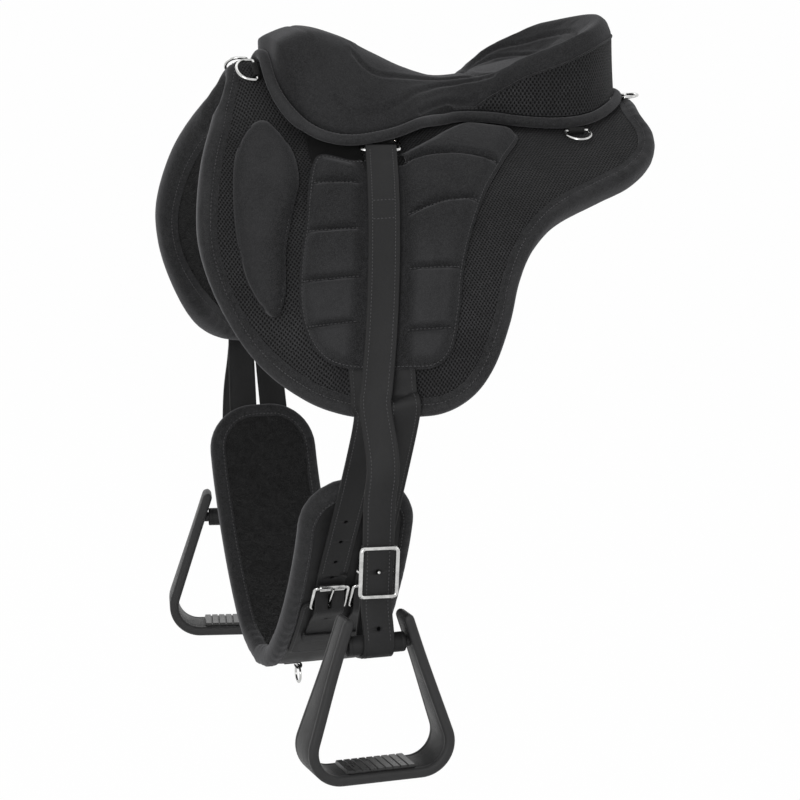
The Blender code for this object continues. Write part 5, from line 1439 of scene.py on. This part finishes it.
# %% Hanger loops and leather buckles
def lathe(name, profile, origin, axis, finish, around=28, closed=False):
    """Turn a profile of (along, radius) points round an axis."""
    z = Vector(axis).normalized()
    x = z.orthogonal().normalized()
    y = z.cross(x)
    turn = np.linspace(0, 2 * math.pi, around, endpoint=False)[:, None]
    ring = np.cos(turn) * np.array(x) + np.sin(turn) * np.array(y)
    rings = [np.array(origin) + np.array(z) * a + ring * r for a, r in profile]
    return skin(name, rings, finish, closed, 40.0)


def both_ends(profile):
    """A profile of (along, radius) points and its mirror image."""
    return profile + [(-a, r) for a, r in profile[::-1]]


BUCKLE_ROD, BUCKLE_RISE = 0.0021, 0.0064
BUCKLE_HALF, BUCKLE_TALL = STRAP_WIDTH / 2 + 0.0026, 0.0245
PIN_TURNED = [(-BUCKLE_RISE, 0.0010), (-BUCKLE_RISE, 0.0018), (0.0058, 0.0018), (0.0068, 0.0016),
              (0.0074, 0.0010), (0.0076, 0.0003)]
dip = np.array([(0.0, 2 * BUCKLE_RISE), (0.0, 0.003), (0.0009, 0.0009), (0.003, 0.0)])
dip = dip - (BUCKLE_HALF, 2 * BUCKLE_RISE)
dip = np.vstack([dip, (dip * (-1, 1))[::-1]])
frame_shape = rounded(-BUCKLE_HALF, BUCKLE_HALF, -BUCKLE_TALL, BUCKLE_TALL, 0.0038, 7)
for side, word in SIDES:
    top, _, hub, down, sideways, straight_out, flat_top, _ = leathers[word]
    climb = drape((strap_x(RING_TOP), side * RING_TOP), RING_HEIGHT) - top
    tall, half = np.linalg.norm(climb), STRAP_WIDTH / 2 + 0.0034
    climb /= tall
    loop = steel_wire("hanger_loop_" + word, rounded(-half, half, 0, tall, 0.003, 6), 0.002,
                      top, flat_top, climb, 0.0020, np.cross(flat_top, climb))
    fit(loop, "saddle", "polished_steel", "hanger_ring_" + word)
    front, name = hub + straight_out * BUCKLE_RISE, "leather_buckle_%s" + word
    buckle = steel_wire(name % "", frame_shape, 0.0016, front, sideways, down,
                        BUCKLE_ROD, straight_out, around=18)
    bar = steel_wire(name % "bar_", dip, 0.0012, front, sideways, straight_out,
                     BUCKLE_ROD * 0.86, down, closed=False)
    pin = lathe(name % "pin_", PIN_TURNED, hub, straight_out, STEEL, 16)
    fit(buckle, "leather_" + word, "polished_steel", "conway_buckle_" + word)
    for part in (bar, pin):
        fit(part, "leather_" + word, "polished_steel")
print("leather buckles: 2")

# %% [markdown]
# ## Stirrups
# Each stirrup is a wide band bent to a triangle with round corners, wrapped in leather
# whose edges are turned under, which leaves a shallow line beside each edge. The band is
# a skin whose section grows wider towards the tread. The leather's sleeve lies round the
# top bar, and the ribbed tread pad keeps its solid and gets a rubber finish.

# %% Stirrups
BAND_THICK, BAND_ROUND, BAR_RADIUS, CORNER, TREAD_LEVEL = 0.0105, 0.0036, 0.0055, 0.030, -0.1308
TOP, FOOT, LEVEL_WAY = np.array((0.030, 0.030)), np.array((0.083, TREAD_LEVEL)), np.array((-1.0, 0.0))
leg = unit(TOP - FOOT)
half_angle = math.acos(float(leg @ LEVEL_WAY)) / 2
start, end = [FOOT + way * CORNER / math.tan(half_angle) for way in (leg, LEVEL_WAY)]
centre = FOOT + unit(leg + LEVEL_WAY) * (CORNER / math.sin(half_angle))
bend = arc(CORNER, *[math.degrees(math.atan2(*(p - centre)[::-1])) for p in (start, end)], 18, centre)
end_steps = [0, 0.0006, 0.0018, 0.0036, 0.0060]
steps = np.concatenate([end_steps, np.linspace(0.012, np.linalg.norm(start - TOP), 14)])
arm = TOP + (steps / steps[-1])[:, None] * (start - TOP)
half_path = np.vstack([arm[:-1], bend, [(x, TREAD_LEVEL) for x in (0.030, 0.018, 0.008)]])
path = np.vstack([half_path * (-1, 1), [(0.0, TREAD_LEVEL)], half_path[::-1]])
path_run = heading(path)
inward = np.stack([-path_run[:, 1], path_run[:, 0]], -1)
SLEEVE = both_ends([(-0.0302, BAR_RADIUS + 0.0004), (-0.0302, 0.0090), (-0.0298, 0.0097), (-0.0290, 0.0100),
                    (-0.0262, 0.0100), (-0.0258, 0.0098), (-0.0254, 0.0100)])
ROD = both_ends([(-0.0375, 0.0030), (-0.0370, BAR_RADIUS)])


def band_section(k):
    """The band's section at a point of its path: (inwards, across) points."""
    w, h, r = (0.031 + 0.019 * float(ease(-path[k, 1], 0.0, 0.115))) / 2, BAND_THICK / 2, BAND_ROUND
    from_end = steps[min(k, len(path) - 1 - k, 5)]
    end_round = math.sqrt(max(0.02, 1 - max(0.0, 1 - from_end / h) ** 2))
    quarter = [(h, 0.0), (h, w - 0.0078), (h - 0.0005, w - 0.0068), (h, w - 0.0058)]
    quarter += [(h - r + r * math.cos(t), w - r + r * math.sin(t)) for t in np.radians([0, 22, 45, 68, 90])]
    right = quarter + [(-x, y) for x, y in quarter[::-1]]
    return np.array(right + [(x, -y) for x, y in right[::-1]][1:-1]) * (end_round, 0.80 + 0.20 * end_round)


for side, word in SIDES:
    bar, level = leathers[word][1], unit(leathers[word][7] * (1, 1, 0))
    up = np.array((0, 0, 1.0))
    deep = np.cross(level, up)
    rings = []
    for k, point in enumerate(path):
        section = band_section(k)
        flat = point + inward[k] * section[:, :1]
        rings.append(placed(flat, bar, level, up) + deep * section[:, 1:])
    band = skin("stirrup_band_" + word, rings, WRAP_LEATHER, sharp=60.0)
    rod = lathe("stirrup_rod_" + word, ROD, bar, level, WRAP_LEATHER)
    sleeve = lathe("bar_sleeve_" + word, SLEEVE, bar, level, STRAP_LEATHER, 36, closed=True)
    fit(band, "stirrup_" + word, "stirrup_leather_wrap", "stirrup_frame_" + word)
    fit(rod, "stirrup_" + word, "stirrup_leather_wrap")
    fit(sleeve, "leather_" + word, "stirrup_leather_wrap", "stirrup_sleeve_" + word)
    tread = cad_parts["tread_pad_" + word]
    tread.data.materials.clear()
    tread.data.materials.append(RUBBER)
print("stirrups: 2, band points", len(path))

# %% [markdown]
# ## The girth
# The girth goes under the horse's belly and is shown hanging in its curve. Outside it is
# leather over a thin foam, inside it has the same pile as the lining, and a suede strip
# binds the edge. Its pattern is a long rounded rectangle, laid on a curve in the plane
# across the horse. The plush gets long soft folds where the girth bends.

# %% Girth surface
GIRTH_X, GIRTH_HALF, GIRTH_THICK, GIRTH_TUFTS = -0.104, 0.060, 0.010, 15000
girth_half = spline([(-0.203, -0.335), (-0.172, -0.413), (-0.118, -0.492), (-0.055, -0.550),
                     (0.0, -0.566)], 60)
girth_line = np.vstack([girth_half, (girth_half * (-1, 1))[::-1][1:]])
girth_run, girth_way = walked(girth_line), heading(girth_line)
GIRTH_LENGTH, x0, x1 = girth_run[-1], GIRTH_X - GIRTH_HALF, GIRTH_X + GIRTH_HALF


def girth(pattern, height):
    """Lay pattern points (x, q) on the girth, q round it from the near end, at a height from its middle."""
    pattern = np.asarray(pattern, float)
    (y, z), (ty, tz) = [np.moveaxis(along(pattern[..., 1], girth_run, v), -1, 0)
                        for v in (girth_line, girth_way)]
    return np.stack([pattern[..., 0], y + tz * height, z - ty * height], -1)


def girth_out(q):
    ty, tz = np.moveaxis(along(q, girth_run, girth_way), -1, 0)
    return np.stack([0 * tz, tz, -ty], -1)


def girth_seam(line, height):
    """A closed seam on the girth's outer face, or on the inner one where the height is negative."""
    line = ringed(line)
    return girth(line, height), girth_out(line[:, 1]) * math.copysign(1, height)


def pill(sink, radius, count, box=(x0, x1, 0.0, GIRTH_LENGTH)):
    """A rounded rectangle in the girth's pattern, sunk in from its box and evenly walked."""
    a, b, c, d = box
    return even(rounded(a + sink, b - sink, c + sink, d - sink, radius, 10), count, closed=True)


def pill_grid(sink, radius, cells, box=(x0, x1, 0.0, GIRTH_LENGTH)):
    outline = pill(sink, radius, 900, box)
    r = sink + radius * 0.30
    a, b, c, d = box[0] + r, box[1] - r, box[2] + r, box[3] - r
    grid = patch_by_corner(outline, ((a, c), (a, d), (b, d), (b, c)), *cells)
    return grid, edge_distance(grid, outline)


# %% Girth body, plush and binding
grid, inside = pill_grid(0.004, 0.046, (150, 26))
puffed = GIRTH_THICK - 0.0012 + 0.0008 * ease(inside, 0.006, 0.016) + waves(grid, 0.020, 0.0002)
girth_leather = closed_sheet("girth_leather", girth(grid, 0.0), girth(grid, puffed), STRAP_LEATHER)
fit(girth_leather, "saddle", "black_leather", "girth_body", fill=0.4)

grid, inside = pill_grid(0.006, 0.045, (190, 40))
x, q = np.moveaxis(grid, -1, 0)
folds = 0.0011 * np.sin(q / 0.0105 + 1.5 * np.sin(x / 0.02)) * np.sin(q / 0.041 + 0.5)
pile_height = (lumps(girth(grid, -0.0092), 0.0070, 0.0007) + folds) * ease(inside, 0.0, 0.014) - 0.0088
plush_face = girth(grid, pile_height)
girth_pile = closed_sheet("girth_pile", plush_face, girth(grid, -0.0018), PLUSH)
fit(girth_pile, "saddle", "black_plush", "girth_plush", fill=0.5)
tufts("girth_tufts", plush_face, -girth_out(q), GIRTH_TUFTS)

outline = pill(0.0, 0.050, 700)
GIRTH_SECTION = [(0.0150, 0.0070), (0.0142, 0.0098), (0.0116, 0.0103), (0.0090, 0.0114), (0.0055, 0.0112),
                 (0.0022, 0.0088), (0.0003, 0.0045), (0.0, 0.0), (0.0003, -0.0045), (0.0022, -0.0084),
                 (0.0055, -0.0104), (0.0090, -0.0106), (0.0116, -0.0102), (0.0142, -0.0098),
                 (0.0150, -0.0070)]
k = np.arange(len(outline))
pull = 0.00025 * np.sin(k * 0.9) + 0.0003 * np.sin(k * 0.23)
rings = np.stack([girth(inset(outline, depth), height + pull * (1 if height > 0 else -1) * (depth > 0.002))
                  for depth, height in GIRTH_SECTION], 1)
girth_edge = skin("girth_edge", rings, EDGE_SUEDE, closed=True, sharp=70.0)
# The outer face's rounded edge is paler: partly wear, partly a painted highlight on it.
edge_wear_and_highlight = np.zeros(rings.shape[:2])
edge_wear_and_highlight[:, 3:7] = 0.35
keep_wear_and_painted_light(girth_edge, edge_wear_and_highlight)
fit(girth_edge, "saddle", "black_suede_binding")
sew("girth_stitches", [girth_seam(inset(outline, 0.0118), h) for h in (0.0106, -0.0104)], "saddle", 0.0042)
print("girth:", round(GIRTH_LENGTH, 3), "m long")

# %% [markdown]
# ## Patches, roller buckles and keepers
# At each end of the girth a leather patch is sewn on. It holds two roller buckles by
# folded leather chapes, split for the prong, and two keepers for the ends of the billets.
# The roller is a thin tube that spins on the upper wire, so that the billet slides when
# the girth is tightened.

# %% Patches and keepers
ROLLER_ALONG, BUCKLE_LONG, BUCKLE_WIRE, BUCKLE_LIFT = 0.118, 0.030, 0.0018, 0.0178
KEEPER_ALONG, TAIL_ALONG, PATCH_THICK = 0.197, 0.2075, 0.0025
BILLET_WIDTH, BILLET_THICK, HOLE_SPACING = 0.031, 0.003, 0.025
BUCKLE_X, BILLET_X = {"front": -0.1245, "rear": -0.0835}, {"front": -0.1085, "rear": -0.0765}
bar_along, patch_face = ROLLER_ALONG + BUCKLE_LONG, GIRTH_THICK + 0.0008


def from_end(side, distance):
    return distance if side < 0 else GIRTH_LENGTH - distance


def girth_spot(side, x, distance, height=BUCKLE_LIFT):
    """A point on the girth, some way from its near or far end."""
    return girth((x, from_end(side, distance)), height)


keeper_half = BILLET_WIDTH / 2 + 0.0016
keeper_shape = denser(rounded(-keeper_half, keeper_half, 0.0024, 0.0086, 0.0014, 4), 0.0016, True)
for side, word in SIDES:
    ends = sorted((from_end(side, bar_along - 0.001), from_end(side, 0.240)))
    box = (x0 + 0.014, x1 - 0.014, *ends)
    grid, inside = pill_grid(0.0, 0.008, (40, 40), box)
    rise = PATCH_THICK - 0.0012 * (1 - ease(inside, 0.0, 0.0025)) - 0.0004 * groove(inside - 0.0034, 0.0012)
    patch_piece = closed_sheet("girth_patch_leather_" + word, girth(grid, GIRTH_THICK - 0.0006),
                               girth(grid, patch_face + rise), STRAP_LEATHER)
    fit(patch_piece, "saddle", "black_leather", "girth_patch_" + word)
    seam = girth_seam(pill(0.0034, 0.005, 240, box), patch_face + PATCH_THICK - 0.0003)
    sew("patch_stitches_" + word, [seam], "saddle", 0.0038, 0.0027, 0.00045)
    for place, x in BUCKLE_X.items():
        before, after = [girth_spot(side, x, KEEPER_ALONG + step, 0.0) for step in (-0.002, 0.002)]
        origin, out = girth_spot(side, x, KEEPER_ALONG, patch_face), girth_out(from_end(side, KEEPER_ALONG))
        keeper = folded("keeper_%s_%s" % (place, word), keeper_shape, origin, (1, 0, 0), out,
                        unit(before - after), 0.012, 0.0016, STRAP_LEATHER, closed=True)
        fit(keeper, "saddle", "black_leather")
print("girth patches: 2, keepers: 4")

# %% Roller buckles
PRONG_RISE, PRONG_TIP = 0.0052, BUCKLE_LONG + 0.0040
buckle_half = BILLET_WIDTH / 2 + 0.0006 + BUCKLE_WIRE
lean = math.degrees(math.atan2(PRONG_RISE, BUCKLE_LONG))
shaft = [(s * PRONG_TIP, PRONG_RISE * s * PRONG_TIP / BUCKLE_LONG)
         for s in (0.19, 0.3, 0.5, 0.7, 0.85, 0.97, 1.0)]
prong_shape = np.vstack([arc(0.0029, 325 + lean, 50 + lean, 20), shaft])
chape_fold = np.vstack([[(-0.0170, -0.0052), (-0.0120, -0.0046), (-0.0060, -0.0038)],
                        arc(0.00305, -95, 150, 18)])
buckle_shape = rounded(-buckle_half, buckle_half, 0, BUCKLE_LONG, 0.003, 6)
tube = both_ends([(-0.0130, 0.0021), (-0.0130, 0.0031), (-0.0126, 0.0035), (-0.0120, 0.0036)])
across = np.array((1.0, 0, 0))
for side, word in SIDES:
    for place, x in BUCKLE_X.items():
        name = place + "_" + word
        hub = girth_spot(side, x, bar_along)
        reach = unit(girth_spot(side, x, ROLLER_ALONG) - hub)
        out = square_to(girth_out(from_end(side, bar_along)), reach)
        buckle = steel_wire("roller_buckle_" + name, buckle_shape, 0.0015, hub, across, reach,
                            BUCKLE_WIRE, out)
        roller = lathe("roller_" + name, tube, hub + reach * BUCKLE_LONG, across, STEEL, 24, closed=True)
        prong = steel_wire("prong_" + name, prong_shape, 0.0009, hub, reach, out, 0.0012, across, False, 12)
        fit(buckle, "saddle", "polished_steel", "girth_buckle_" + name)
        fit(roller, "roller_" + name, "polished_steel", "buckle_roller_" + name)
        fit(prong, "prong_" + name, "polished_steel", "buckle_prong_" + name)
        for way, end in ((-1, "front"), (1, "rear")):
            origin = hub + across * way * 0.00735
            chape = folded("chape_%s_%s" % (name, end), chape_fold, origin, reach, out, across,
                           0.0103, 0.0019, STRAP_LEATHER)
            fit(chape, "saddle", "black_leather")
print("roller buckles: 4")

# %% [markdown]
# ## Billets
# Two billets a side come down from the web under the seat, lie on the flap under the
# quilted panel, cross the bound edge and go to the girth's buckles: under the roller,
# over the prong's bar and into the keeper. Each is a strap along one smooth line, with
# holes a thumb's width apart and stitched edges.

# %% Billets
BILLET_LIE = [(0.088, -0.0040), (0.104, -0.0058), (ROLLER_ALONG, -0.0059), (ROLLER_ALONG + 0.006, -0.0042),
              (bar_along - 0.006, 0.0047), (bar_along + 0.001, 0.0062), (bar_along + 0.009, 0.0040),
              (bar_along + 0.020, 0.0002), (bar_along + 0.034, -0.0013), (TAIL_ALONG, -0.0013)]
t = np.array([0.130, 0.145, 0.16, 0.18, 0.20, 0.225, 0.25, 0.28, 0.31, 0.34, 0.365, 0.378, 0.395, 0.422])
height = 0.0029 + 0.0010 * (1 - ease(t, 0.155, 0.175)) + 0.0026 * ease(t, 0.378, 0.395)


def nearest_on(line, spot):
    return int(np.argmin(np.linalg.norm(line - spot, axis=1)))


for side, word in SIDES:
    for place, x in BILLET_X.items():
        pattern = np.stack([np.full(len(t), x), side * t], -1)
        flap, low_x = drape(pattern, height), BUCKLE_X[place]
        lie = np.array([girth_spot(side, low_x, d, BUCKLE_LIFT + h) for d, h in BILLET_LIE])
        line = spline(np.vstack([flap, lie]), 900)[::4]
        lay, out = flat_ways(line, flap, pattern, (1.0, 0, 0), 0.22, 0.36)
        out *= np.sign(out[:, 1:2]) * side
        from_tip = np.clip(np.arange(len(line))[::-1] / 7, 0, 1)
        taper = 1 - 0.55 * (1 - np.sqrt(1 - (1 - from_tip) ** 2))
        section = strap_section(BILLET_WIDTH, BILLET_THICK, SEWN_EDGE)
        billet = strap("billet_strap_%s_%s" % (place, word), line, lay, section, STRAP_LEATHER, taper)
        up = girth_spot(side, low_x, ROLLER_ALONG) - girth_spot(side, low_x, bar_along)
        slot_out = girth_out(from_end(side, bar_along))
        holes = [(girth_spot(side, low_x, bar_along - 0.0117), slot_out, 0.0022, 0.030, 3.8, up)]
        for k in (-4, -3, -2, -1, 1):
            i = nearest_on(line, girth_spot(side, low_x, bar_along - 0.0125 + k * HOLE_SPACING))
            holes.append((line[i], out[i], 0.0022, 0.012, 1, heading(line)[i]))
        punch(billet, holes)
        fit(billet, "saddle", "black_leather", "billet_%s_%s" % (place, word))
        top = slice(0, nearest_on(line, girth_spot(side, low_x, 0.106)))
        rows = edge_rows(line[top], lay[top], out[top], BILLET_WIDTH - 0.0088, BILLET_THICK)
        sew("billet_stitches_%s_%s" % (place, word), rows, "saddle", 0.0038, 0.0027, 0.00042)
print("billets: 4, holes in each:", len(holes))

# %% [markdown]
# ## The ring under the girth
# A small round ring hangs from a leather loop under the middle, for a breastplate strap.

# %% Girth ring
SMALL_RING = 0.0095
top = girth((-0.115, GIRTH_LENGTH / 2), patch_face + 0.0001 + 0.0048)
ring_line = placed(arc(SMALL_RING, 90, -262.5, 48, (0, -SMALL_RING)), top, (0, 1, 0), (0, 0, 1))
small_ring = wire("small_ring", ring_line, 0.0013, (1, 0, 0), STEEL, closed=True)
fit(small_ring, "ring_girth", "polished_steel", "girth_ring")
fold = np.vstack([[(-0.0160, 0.0032), (-0.0090, 0.0032), (-0.0040, 0.0032)], arc(0.00318, 92, -180, 22)])
loop = folded("small_ring_loop", fold, top, (1, 0, 0), (0, 0, 1), (0, 1.0, 0), 0.007, 0.0015, STRAP_LEATHER)
fit(loop, "saddle", "black_leather", "girth_ring_tab")
print("ring under the girth at", [round(float(v), 3) for v in top])
